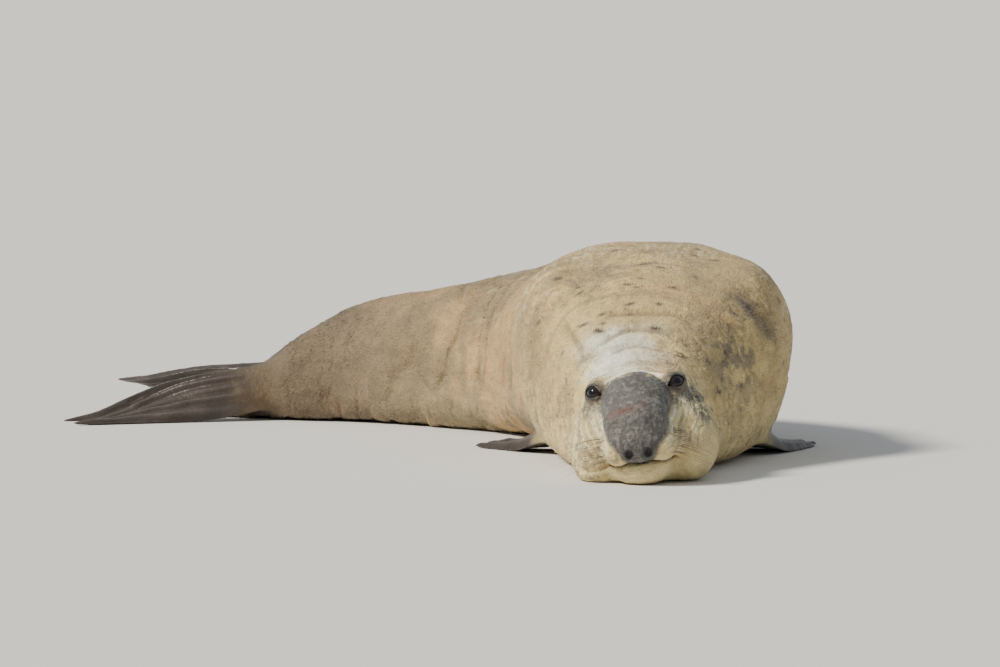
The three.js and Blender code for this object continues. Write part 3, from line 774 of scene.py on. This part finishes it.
# The colours of the coat, in linear light: straw on the back, paler on the crown, grey on the
# nose, browner behind and dark on the flippers, with scars, scabs and darker mottled patches.
# Painted light is mixed in: shade in the folds, creases and shoulder dent, on the left of the neck,
# beside the left eye and over the back, and highlight on the back's streaks and the flippers' digits.
COLOURS = {
    "straw": (0.66, 0.5, 0.205), "sand": (0.52, 0.385, 0.165), "pale": (0.86, 0.86, 0.71),
    "tan": (0.56, 0.36, 0.16), "cream": (0.68, 0.56, 0.275), "brown": (0.2, 0.145, 0.09),
    "nose": (0.084, 0.08, 0.08), "dark": (0.045, 0.04, 0.037), "scab": (0.12, 0.042, 0.034),
    "crust": (0.78, 0.68, 0.38), "flipper": (0.045, 0.033, 0.027),
    "flipper_pale_and_sheen": (0.11, 0.095, 0.085), "slate": (0.12, 0.115, 0.105),
}
NOSTRIL_RIM, EAR_RIM = (14, 30, 18), (34, 12, 9)
colour = np.tile(np.array(COLOURS["straw"]), (len(points), 1))


def stain(name, share):
    share = np.clip(share, 0, 1)[:, None]
    colour[:] = colour * (1 - share) + np.array(COLOURS[name]) * share


def patch(p, at, size, soft=0.5):
    """A stain with a ragged edge round one place."""
    r = np.sqrt((((p - at) / size) ** 2).sum(-1))
    ragged = over((r < 1.5 + soft).astype(float), lambda q: rough(q, np.array(size) * 0.6, 3, at[1] % 97), p)
    return smooth(1 + soft, 1 - soft, r + 0.35 * ragged)


nose_top = smooth(14, -10, skin_q[:, 2] - 338 + 16 * noise(skin_q, 30, 59))
on_nose = on_head(smooth(3, -3, nose_gap) * nose_top)
ragged_ring = lid_ring + 0.3 * eye_b + 10 * noise(skin_q, 14, 57)
around_eye = on_head(smooth(-8, 5, eye_out) * smooth(80, 44, ragged_ring))
lid_rim = on_head(smooth(-5, 8, eye_out) * smooth(44, 27, lid_ring))

# the coat's colours: clouds, dark bands over the neck, pale streaks along the back that are partly painted
# highlight, browner behind, partly as painted shade
top_share = smooth(0.3, 0.9, side_height)
cloud = rough(points, (260, 420, 260), 3, 61)
stain("sand", 0.5 + 0.9 * cloud)
stain("cream", 0.75 * smooth(0.5, 0.1, side_height) + 0.4 * smooth(1000, 400, y))
# browner from the shoulders back: partly a moulted coat, partly painted shade over the far part of the back
stain("brown", 0.7 * smooth(1150, 1800, y + 150 * noise(points, 300, 56)))
stain("tan", 0.75 * smooth(0.0, 0.5, rough(points, (300, 200, 300), 3, 62)) * smooth(650, 900, y))
waved = points + 30 * noise(points, 260, 66)[:, None]
bands = rough(waved, (340, 46, 340), 3, 55) + 0.4 * noise(points, 400, 54)
stain("brown", 0.4 * smooth(0.1, 0.7, bands) * smooth(620, 760, y) * smooth(1500, 1100, y) * top_share)
streaks = 0.8 * noise(waved, (11, 520, 11), 63) + 0.8 * noise(waved, (6, 260, 6), 65)
marked = smooth(-0.2, 0.5, noise(points, (300, 500, 300), 64))
# pale streaks on the upper flanks: partly pale hairs, partly a painted highlight along the lie of the hair
streak_pale_and_sheen = 0.3 * marked * smooth(0.25, 0.75, streaks)
stain("pale", streak_pale_and_sheen * smooth(850, 1200, y) * smooth(0.35, 0.7, side_height))
stain("brown", 0.4 * marked * smooth(0.2, 0.7, -streaks) * smooth(850, 1300, y))
stain("brown", 0.6 * smooth(2300, 3100, y + 120 * noise(points, 200, 58)))
stain("flipper", 0.55 * smooth(2900, 3300, y + 80 * noise(points, 90, 60)))

# the pale crown; mottled slate on the left of the neck and shoulder, which is painted shade as well as
# mottling; the dent on the left shoulder, darkened as painted shade; the crusts on the cheeks, with
# painted shade between the flakes on the left one
stain("pale", 0.95 * patch(skin_head, (-40, 430, 370), (104, 165, 90)))
stain("pale", 0.45 * patch(skin_head, (-80, 560, 410), (120, 120, 80)))
stain("tan", 0.5 * patch(skin_head, (92, 400, 340), (62, 110, 70)))
stain("cream", 0.7 * patch(skin_head, (-150, 250, 180), (70, 140, 130)))
mottle = smooth(-0.15, 0.45, rough(points + 12 * noise(points, 30, 68)[:, None], (40, 56, 40), 5, 67))
stain("slate", 0.3 * mottle * patch(skin_head, (-40, 560, 410), (110, 80, 80)))
# painted shade: slate mottled patches down the left of the neck and shoulder, broken up by the mottle
stain("slate", 0.6 * mottle * patch(points, (262, 790, 380), (90, 200, 125), 0.8))
stain("slate", 0.4 * mottle * patch(points, (300, 900, 250), (90, 300, 200), 0.9))
# painted shade in the shoulder dent, broken up by the mottle
stain("dark", np.exp(-(dent / 34) ** 2) * (0.6 + 0.4 * mottle))
# darker patch behind the left eye: partly dark skin, partly a painted shadow cast by the nose and brow
stain("slate", 0.55 * patch(skin_head, (166, 292, 272), (46, 70, 50)))
flaky = smooth(-0.1, 0.2, rough(points, (16, 22, 13), 3, 78))
crusted = patch(skin_head, (200, 330, 215), (66, 110, 66))
# painted shade: slate in the gaps between the left cheek's crust flakes
stain("slate", 0.75 * (1 - flaky) * crusted)
stain("crust", 0.95 * flaky * crusted)
stain("crust", 0.6 * flaky * patch(points, (-190, 330, 80), (110, 260, 110)))
stain("scab", 0.35 * (1 - flaky) * patch(points, (-150, 200, 60), (80, 160, 60)))

# the grey pitted nose with its red scab and painted shade in its wrinkles, its pale rim, the streaks beside
# it and the lids
stain("nose", on_nose)
stain("pale", over(on_nose, lambda q: 0.09 * smooth(0.0, 0.6, rough(q, (12, 12, 20), 2, 71)), skin_head))
stain("dark", over(on_nose, lambda q: 0.55 * smooth(0.15, 0.5, rough(q, (6, 6, 8), 2, 69)), skin_head))
stain("dark", over(on_nose, lambda q: 0.3 * smooth(0.1, 0.5, rough(q, (24, 24, 34), 4, 70)), skin_head))
# painted shade in the nose's wrinkles, which follow the creases pressed into it
stain("dark", over(on_nose, lambda q: 0.6 * wrinkles(q, (34, 30, 9), 3, 0.25), skin_head))
SCAB = [(-86, 66, 214), (-62, 44, 226), (-30, 26, 240), (10, 22, 247), (44, 34, 252)]
red = crease(skin_head + 5 * noise(skin_head, 18, 73)[:, None], SCAB, 13)
stain("scab", over(red, lambda q: smooth(-0.6, 0.0, rough(q, (11, 11, 6), 2, 75)), skin_head))
stain("pale", 0.85 * on_head(nose_rim))
streaky = rough(fold_place, (7, 70, 9), 2, 74)
stain("slate", 0.3 * on_head(beside_nose * smooth(0.05, 0.45, streaky)))
stain("pale", 0.35 * on_head(beside_nose * smooth(0.05, 0.45, -streaky)))
stain("slate", 0.7 * around_eye)
stain("dark", over(around_eye, lambda q: 0.6 * smooth(0, 0.4, rough(q, (8, 8, 5), 2, 76)), skin_head))
stain("dark", lid_rim)

# the lips, the nostrils, the ear holes, and painted shade along the neck's folds
lip_gap = blend(nose_gap, forms_distance(skin_q, UPPER_LIP), LIP_SOFT)
lips = np.exp(-((lip_gap - jaw_gap) / 7) ** 2) * smooth(235, 170, skin_q[:, 1]) * smooth(4, 24, skin_q[:, 2])
lips = on_head(lips * smooth(16, 6, lip_gap))
stain("dark", 0.85 * lips)
stain("dark", smooth(5, -3, ellipsoid(skin_head, NOSTRIL_AT, NOSTRIL_RIM)))
stain("dark", smooth(4, -4, ellipsoid(skin_head, EAR_AT, EAR_RIM)))
neck_wave = 7 * noise(points, 70, 37)[:, None]
# painted shade in the neck's folds, along the creases pressed into them
for row in NECK_FOLDS:
    stain("brown", 0.4 * crease(unfolded + neck_wave, row, 15))


def on_hide(y_at, angle):
    """Places on the hide, given along the body and as an angle round it from the ridge of the back."""
    middle = np.stack([np.zeros(len(y_at)), y_at, 0.42 * trunk_height(np.maximum(y_at, NECK_AT))], -1)
    outward = np.stack([np.sin(angle), np.zeros(len(y_at)), np.cos(angle)], -1)
    inner, outer = np.zeros(len(y_at)), np.full(len(y_at), 600.0)
    for _ in range(14):
        half_way = (inner + outer) / 2
        within = hide(middle + outward * half_way[:, None]) < 0
        inner, outer = np.where(within, half_way, inner), np.where(within, outer, half_way)
    return middle + outward * inner[:, None]


# short dark nicks on the head and neck, and long straight scratches over the back
SCARS, SCRATCHES = 70, 120
for at in on_hide(random.uniform(330, 1500, SCARS), random.uniform(-1.5, 1.5, SCARS)):
    long, slope = random.uniform(7, 24), random.uniform(-0.5, 0.5)
    ends_at = settle(at + np.array([[-long, -long * slope, 0], [0, 0, 0], [long, long * slope, 0]]), 4)
    stain("dark", crease(unfolded, ends_at, 5 + 4 * float(smooth(450, 650, at[1]))))
scratches = np.zeros(len(points))
for _ in range(SCRATCHES):
    along = random.uniform(1000, 2300) + random.uniform(80, 340) * np.linspace(0, 1, 6)
    angle = random.uniform(-1.35, 0.1) + random.uniform(-0.05, 0.05) * np.linspace(0, 1, 6)
    scratches = np.maximum(scratches, random.uniform(0.2, 0.6) * crease(unfolded, on_hide(along, angle), 3.2))
stain("cream", scratches)
speckle = smooth(0.35, 0.6, rough(points, (15, 20, 15), 2, 77)) * smooth(0.0, 0.5, noise(points, 220, 79))
stain("brown", 0.5 * speckle * smooth(1900, 900, y) * (1 - on_nose))

# the flippers' bare skin, paler along the digits as a painted highlight on their ridges, painted shade in the
# hide's creases, and the tone of the whole hide
bare_from = 0.02 + 0.1 * flipper_hind + 0.05 * noise(points, 40, 80)
flipper_skin = smooth(30, 10, flipper_gap) * smooth(0, 0.3, flipper_t - bare_from)
stain("flipper", flipper_skin)
# paler along the raised digits as a painted highlight on their ridges, and in random tone
stain("flipper_pale_and_sheen", flipper_skin * (0.5 * digit_share(flipper_w) ** 3 + 0.25 * noise(points, 60, 81)))
# painted shade: browner wherever the relief sinks into a crease or dent
stain("brown", 0.4 * smooth(-1, -6, relief) * (1 - on_nose))
colour *= (1 + 0.12 * rough(points, (30, 60, 30), 3, 83))[:, None]
colour = np.clip(colour, 0.008, 0.9)
wet = np.clip(flipper_skin + 0.8 * lid_rim + 0.45 * on_nose, 0, 1)
straight = points
skin_mesh.vertices.foreach_set("co", points.astype(np.float32).ravel())
skin_mesh.update()
straight_normals = read(skin_mesh, "vertices", "normal", 3).astype(float)
skin_mesh.vertices.foreach_set("co", bend(points).astype(np.float32).ravel())
skin_mesh.update()


def store(mesh, name, kind, values):
    made = mesh.attributes.new(name, kind, "POINT")
    field = {"FLOAT_COLOR": "color", "FLOAT_VECTOR": "vector", "FLOAT": "value"}[kind]
    made.data.foreach_set(field, np.asarray(values, np.float32).ravel())


def store_colour(mesh, name, colours):
    store(mesh, name, "FLOAT_COLOR", np.column_stack([colours, np.ones(len(colours))]))


def node(shader, kind, output, inputs, **settings):
    """A new node beside the shader, given back as the output of it that is used."""
    made = shader.id_data.nodes.new("ShaderNode" + kind)
    for setting, value in settings.items():
        setattr(made, setting, value)
    feed(made, inputs)
    return made.outputs[output]


def stored(shader, name, output="Color"):
    return node(shader, "Attribute", output, {}, attribute_name=name)


def piece_of(name, mesh, made_of):
    """A piece of one material, smooth all over."""
    mesh.materials.clear()
    mesh.materials.append(made_of)
    mesh.polygons.foreach_set("material_index", np.zeros(len(mesh.polygons), np.int32))
    mesh.polygons.foreach_set("use_smooth", np.ones(len(mesh.polygons), bool))
    return placed(name, mesh)


store_colour(skin_mesh, "coat_colour", colour)
store(skin_mesh, "hide_place", "FLOAT_VECTOR", straight / MM_IN_METRE)
store(skin_mesh, "wet", "FLOAT", wet)

# hairs, longer than wide, and pores, both calmer and glossier where the hide is wet
hide_finish, shader = finish("hide", {"Specular IOR Level": 0.35, "Sheen Weight": 0.12})
at, damp = stored(shader, "hide_place", "Vector"), stored(shader, "wet", "Fac")
lengthwise = node(shader, "Mapping", "Vector", {"Vector": at, "Scale": (1, 0.22, 1)})
hairs = node(shader, "TexNoise", "Fac", {"Vector": lengthwise, "Scale": 420, "Detail": 3})
pores = node(shader, "TexNoise", "Fac", {"Vector": at, "Scale": 70, "Detail": 5})
shade = node(shader, "MapRange", "Result", {
    "Value": hairs, "From Min": 0.3, "From Max": 0.7, "To Min": 0.72, "To Max": 1.22,
})
tinted = node(
    shader, "VectorMath", "Vector", {0: stored(shader, "coat_colour"), "Scale": shade}, operation="SCALE"
)
gloss = node(shader, "MapRange", "Result", {"Value": damp, "To Min": 0.8, "To Max": 0.3})
calm = node(shader, "MapRange", "Result", {"Value": damp, "To Min": 0.6, "To Max": 0.2})
bumps = node(shader, "Bump", "Normal", {"Height": hairs, "Strength": calm, "Distance": 0.003})
bumps = node(shader, "Bump", "Normal", {
    "Height": pores, "Strength": calm, "Distance": 0.006, "Normal": bumps,
})
feed(shader, {"Base Color": tinted, "Roughness": gloss, "Normal": bumps})

skin = piece_of("skin", skin_mesh, hide_finish)
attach(skin, "root")
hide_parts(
    "head", "proboscis", "lower_jaw", "neck", "torso_front", "torso_middle", "torso_rear",
    "tail", "fore_flipper_left", "fore_flipper_right", "hind_flipper_left", "hind_flipper_right",
)

# The eyes: dark wet balls with a bulging cornea, seated in a ring of lid each; the iris is so
# dark that the pupil hardly shows in it, and the rim of the white is reddish.
EYE_RINGS, EYE_SIDES = 40, 64
CORNEA_REACH, IRIS_REACH, PUPIL_REACH = 0.42, (1.0, 0.86), (0.44, 0.36)


def tube_grid(along, sides):
    """How far along a tube each of its points is, and its angle round it."""
    angles = np.arange(sides) * 2 * math.pi / sides
    return [grid.ravel() for grid in np.meshgrid(along, angles, indexing="ij")]


eye_finish, shader = finish("wet_eye", {
    "Roughness": 0.3, "Specular IOR Level": 0.1,
    "Coat Weight": 1.0, "Coat IOR": 1.36, "Coat Roughness": 0.02,
})
feed(shader, {"Base Color": stored(shader, "eye_colour")})
tilt, spin = tube_grid(np.linspace(0, math.pi, EYE_RINGS + 1)[1:-1], EYE_SIDES)
tilt, spin = np.append(tilt, [0, math.pi]), np.append(spin, [0, 0])
reach = EYE_RADIUS - 0.4 + 1.6 * np.exp(-(tilt / CORNEA_REACH) ** 4)
ball = reach[:, None] * (
    np.sin(tilt)[:, None] * (np.cos(spin)[:, None] * EYE_ACROSS + np.sin(spin)[:, None] * EYE_UP)
    + np.cos(tilt)[:, None] * EYE_LOOKS
)
ball_quads = tube_quads(EYE_RINGS - 2, EYE_SIDES)[:, [0, 3, 2, 1]]
ring = np.arange(EYE_SIDES)
turn_on, last_ring = (ring + 1) % EYE_SIDES, (EYE_RINGS - 2) * EYE_SIDES
caps = np.concatenate([
    np.stack([ring, turn_on, np.full(EYE_SIDES, len(ball) - 2)], -1),
    np.stack([last_ring + turn_on, last_ring + ring, np.full(EYE_SIDES, len(ball) - 1)], -1),
])
streak = 1 + 0.25 * np.sin(spin * 23) + 0.2 * np.sin(spin * 41 + 1)
iris_share = smooth(*IRIS_REACH, tilt)[:, None]
pupil_share = smooth(*PUPIL_REACH, tilt)[:, None]
eye_colour = np.array([0.05, 0.028, 0.024]) * (1 - iris_share)
eye_colour = eye_colour + iris_share * np.array([0.014, 0.009, 0.007]) * streak[:, None]
eye_colour = eye_colour * (1 - pupil_share) + pupil_share * np.array([0.003, 0.003, 0.004])
for side, name in ((1, "left"), (-1, "right")):
    seat = (EYE_AT + ball) * (side, 1, 1)
    faces = facing_out(side, ball_quads, caps)
    eye_mesh = mesh_of("eyeball_" + name, bend(from_head(seat)), *faces)
    store_colour(eye_mesh, "eye_colour", eye_colour)
    eyeball = piece_of("eyeball_" + name, eye_mesh, eye_finish)
    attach(eyeball, "root")
    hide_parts("eye_" + name)

# The claws: five blunt nails of dark horn, ringed by growth, on each fore flipper. Each grows out
# of the end of a digit and lies level on it, with the tip drooping a little.
CLAW_LENGTH, CLAW_RADIUS, CLAW_SUNK, CLAW_FROM, CLAW_DROOP = 38.0, 5.6, 10.0, 0.95, 7.0
CLAW_SIDES, CLAW_RINGS = 20, 26
horn, shader = finish("horn", {"Roughness": 0.5})
feed(shader, {"Base Color": stored(shader, "horn_colour")})
step, turn_by = tube_grid(np.linspace(0, 1, CLAW_RINGS + 1), CLAW_SIDES)
claw_quads, ring = tube_quads(CLAW_RINGS, CLAW_SIDES), np.arange(CLAW_SIDES)
claw_ends = np.stack([ring[::-1], ring + CLAW_RINGS * CLAW_SIDES])
thick = CLAW_RADIUS * np.sqrt(np.clip(1 - (step * 0.985) ** 2.4, 0, 1)) * (1 + 0.03 * np.sin(step * 60))
for name, shape, side, *lie in LIES[:2]:
    for digit in range(5):
        across_at = np.full(2, -OUTER_DIGIT + DIGIT_GAP * digit)
        root, tip = blade_points(shape, 1, *lie, across_at, np.array([CLAW_FROM, 1.0]), 1)
        level_way = unit((tip - root) * [1, 1, 0])
        aside = unit(np.cross(level_way, [0, 0, 1]))
        p = root + level_way * (step * CLAW_LENGTH - CLAW_SUNK)[:, None]
        p = p + aside * (thick * 0.92 * np.cos(turn_by))[:, None]
        p[:, 2] += thick * 0.85 * np.sin(turn_by) - 6 - CLAW_DROOP * step ** 2
        keep_above(p, 0.6)
        p[:, 0] *= side
        faces = facing_out(-side, claw_quads, claw_ends)
        claw_mesh = mesh_of(f"claw_{name}_{digit + 1}", bend(p), *faces)
        dark_base = smooth(0.5, 1, step)[:, None] * (1 + 0.2 * noise(p, (3, 3, 30), 91)[:, None])
        claw_colour = np.array([0.028, 0.021, 0.016]) + dark_base * np.array([0.07, 0.052, 0.036])
        store_colour(claw_mesh, "horn_colour", claw_colour)
        claw = piece_of(f"claw_{name}_{digit + 1}", claw_mesh, horn)
        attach(claw, "root")
        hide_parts(f"fore_claw_{name.split('_')[1]}_{digit + 1}")

# The whiskers: stiff dark bristles, thick at the root, in rows on the pads beside the nose, and
# a few over each eye. Their roots are set into the skin.
WHISKER_SIDES, WHISKER_STEPS, WHISKER_SUNK = 5, 10, 3
LIP_ROWS = [(64, 128, 150, 5), (52, 142, 136, 6), (46, 150, 121, 7), (44, 150, 106, 7), (50, 142, 92, 6)]
LEAVES = ((1.0, -0.35, -0.12), (0.55, -0.25, 0.9))
SWEEPS = ((0.2, 0.55, -0.5), (0.2, 0.55, -0.2))
THICK = (0.8, 0.6)
whisker_roots = []
for row, (y_from, y_to, up, in_row) in enumerate(LIP_ROWS):
    for n in range(in_row):
        back = (n + 0.5 * (row % 2)) / in_row
        whisker_roots.append((100, y_from + (y_to - y_from) * back, up + 5 * back, 45 + 95 * back, 0))
for n in range(7):
    whisker_roots.append((96 + 9 * n, 276 + 4 * n, 352 - 2 * n, 50 + 8 * (n % 3), 1))
whisker_roots = [(side, *root) for side in (1, -1) for root in whisker_roots]
whisker_spots = np.array([(side * x, y_at, z_at) for side, x, y_at, z_at, *_ in whisker_roots])
whisker_spots = settle(from_head(whisker_spots + random.uniform(-2.5, 2.5, whisker_spots.shape)), 16)
angle = np.arange(WHISKER_SIDES) * 2 * math.pi / WHISKER_SIDES
t = np.linspace(0, 1, WHISKER_STEPS + 1)[:, None]
whisker_points = []
for root, (side, *_, long, over_eye) in zip(whisker_spots, whisker_roots):
    out = unit(np.array(LEAVES[over_eye]) * (side, 1, 1) + random.uniform(-0.14, 0.14, 3))
    sweep = np.array(SWEEPS[over_eye]) * (side, 1, 1)
    long = long * random.uniform(0.8, 1.2)
    line = root + out * (t * long - WHISKER_SUNK) + sweep * (t ** 2 * long * 0.42)
    keep_above(line, 2.0)
    ahead = unit(np.gradient(line, axis=0))
    flat = unit(np.cross(ahead, [0, 0, 1]))
    stand = np.cross(flat, ahead)
    radius = THICK[over_eye] * (1.05 - 0.85 * t) * (1 + 0.1 * np.sin(t * long * 0.9))
    tube = line[:, None] + radius[:, None] * (
        np.cos(angle)[None, :, None] * flat[:, None] + np.sin(angle)[None, :, None] * stand[:, None]
    )
    whisker_points.append(tube.reshape(-1, 3))
whisker_points = np.concatenate(whisker_points)
keep_above(whisker_points, 0.6)
tube_size, ring = WHISKER_SIDES * (WHISKER_STEPS + 1), np.arange(WHISKER_SIDES)
tube_starts = np.arange(0, len(whisker_points), tube_size)[:, None]
whisker_faces = (tube_starts[:, :, None] + tube_quads(WHISKER_STEPS, WHISKER_SIDES)).reshape(-1, 4)[:, ::-1]
whisker_ends = np.concatenate([tube_starts + ring, tube_starts + tube_size - WHISKER_SIDES + ring[::-1]])
whisker_mesh = mesh_of("whiskers", bend(whisker_points), whisker_faces, whisker_ends)
whisker_finish = finish("whisker", {"Base Color": (0.17, 0.13, 0.09, 1), "Roughness": 0.42})[0]
whiskers = piece_of("whiskers", whisker_mesh, whisker_finish)
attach(whiskers, "root")

# The coat: short stiff hairs in flat pointed tufts that lie back along the body, shortest on the
# face and flippers and none on the nose, each of its skin's own colour and rooted in the skin.
TUFTS_A_PIECE, TUFT_LENGTH, TUFT_WIDTH, TUFT_RISE, TUFT_SUNK = 38000, 13.0, 2.0, 1.3, 0.6
hide_triangles = read(skin_mesh, "loops", "vertex_index", 1, np.int32)
face_sizes = read(skin_mesh, "polygons", "loop_total", 1, np.int32)
face_area = read(skin_mesh, "polygons", "area", 1) * MM_IN_METRE ** 2
share_of = np.repeat(face_area / face_sizes, face_sizes)
area = np.bincount(hide_triangles, share_of, len(straight))
face_share = smooth(430, 150, straight[:, 1])
feet_share = np.clip(on_flipper, 0, 1)
tuft_scale = (1 - 0.66 * face_share) * (1 - 0.6 * feet_share)
wanted = area / tuft_scale ** 0.8 * (1 - np.clip(on_nose * 1.2, 0, 1)) * (1 - 0.75 * feet_share)
wanted *= smooth(8, 22, ellipsoid(skin_head, EAR_AT, EAR_RIM))
wanted *= (
    (1 - np.clip(around_eye * 1.5, 0, 1)) * (1 - np.clip(lips * 1.5, 0, 1)) * smooth(2, 12, straight[:, 2])
)

# the unwrap: the trunk below, and each flipper in a corner of its own above it, top and underside
blade_place = 0.25 * (2 * flipper_hind + (straight[:, 0] < 0))
on_top = (straight_normals[:, 2] > 0) * 0.5
round_trunk = np.arctan2(straight[:, 0], straight[:, 2] - 0.45 * trunk_height(np.maximum(y, NECK_AT)))
unwrap_u = np.where(
    on_flipper > 0.5, blade_place + 0.01 + 0.23 * ((flipper_w + 1) / 4 + on_top),
    round_trunk / (2 * math.pi) + 0.5,
)
unwrap_v = np.where(on_flipper > 0.5, 0.83 + 0.16 * flipper_t, 0.01 + 0.79 * straight[:, 1] / LENGTH)
PATCH = np.array([[-0.0015, -0.0015], [0.0015, -0.0015], [0, 0], [0, 0.0015]])
tuft_finish, shader = finish("short_hair", {"Roughness": 0.62, "Sheen Weight": 0.12})
feed(shader, {"Base Color": stored(shader, "coat_colour")})
for name, y_from, y_to in (
    ("coat_front", -400, 900), ("coat_shoulders", 900, 1600),
    ("coat_middle", 1600, 2400), ("coat_rear", 2400, 4600),
):
    chance = np.where((straight[:, 1] >= y_from) & (straight[:, 1] < y_to), wanted, 0)
    roots = random.choice(len(straight), TUFTS_A_PIECE, p=chance / chance.sum())
    n_at = straight_normals[roots]
    scale = (tuft_scale[roots] * random.uniform(0.75, 1.25, len(roots)))[:, None]
    lie = np.array([0, 1, -0.12]) + random.uniform(-0.22, 0.22, (len(roots), 3))
    lie = unit(lie - n_at * (lie * n_at).sum(1)[:, None])
    aside = np.cross(n_at, lie)
    shift = random.uniform(-4, 4, (2, len(roots), 1)) * np.sqrt(area[roots] / 12)[:, None].clip(0.3, 1.2)
    base = straight[roots] + shift[0] * lie + shift[1] * aside - TUFT_SUNK * n_at
    wide = aside * TUFT_WIDTH / 2 * scale
    tuft_points = np.stack([
        base - wide, base + wide, base + n_at * (0.9 * scale),
        base + lie * TUFT_LENGTH * scale + n_at * (TUFT_RISE * scale),
    ], 1).reshape(-1, 3)
    keep_above(tuft_points, 0.6)
    first = np.arange(len(roots))[:, None, None] * 4
    tuft_faces = (first + np.array([[0, 3, 2], [2, 3, 1], [1, 3, 0], [0, 2, 1]])).reshape(-1, 3)
    tuft_mesh = mesh_of(name, bend(tuft_points), tuft_faces)
    tone = random.uniform(0.9, 1.16, (len(roots), 1, 1)) * np.array([0.96, 0.96, 1.04, 1.12])[None, :, None]
    tuft_colour = np.clip(colour[roots][:, None] * tone, 0.006, 0.9).reshape(-1, 3)
    store_colour(tuft_mesh, "coat_colour", tuft_colour)
    at_root = np.stack([unwrap_u[roots], unwrap_v[roots]], -1)
    patches = (np.clip(at_root, 0.002, 0.998)[:, None] + PATCH).reshape(-1, 2)
    layer = tuft_mesh.uv_layers.new(name="OFBake")
    layer.uv.foreach_set("vector", patches[tuft_faces.ravel()].astype(np.float32).ravel())
    coat = piece_of(name, tuft_mesh, tuft_finish)
    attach(coat, "root")
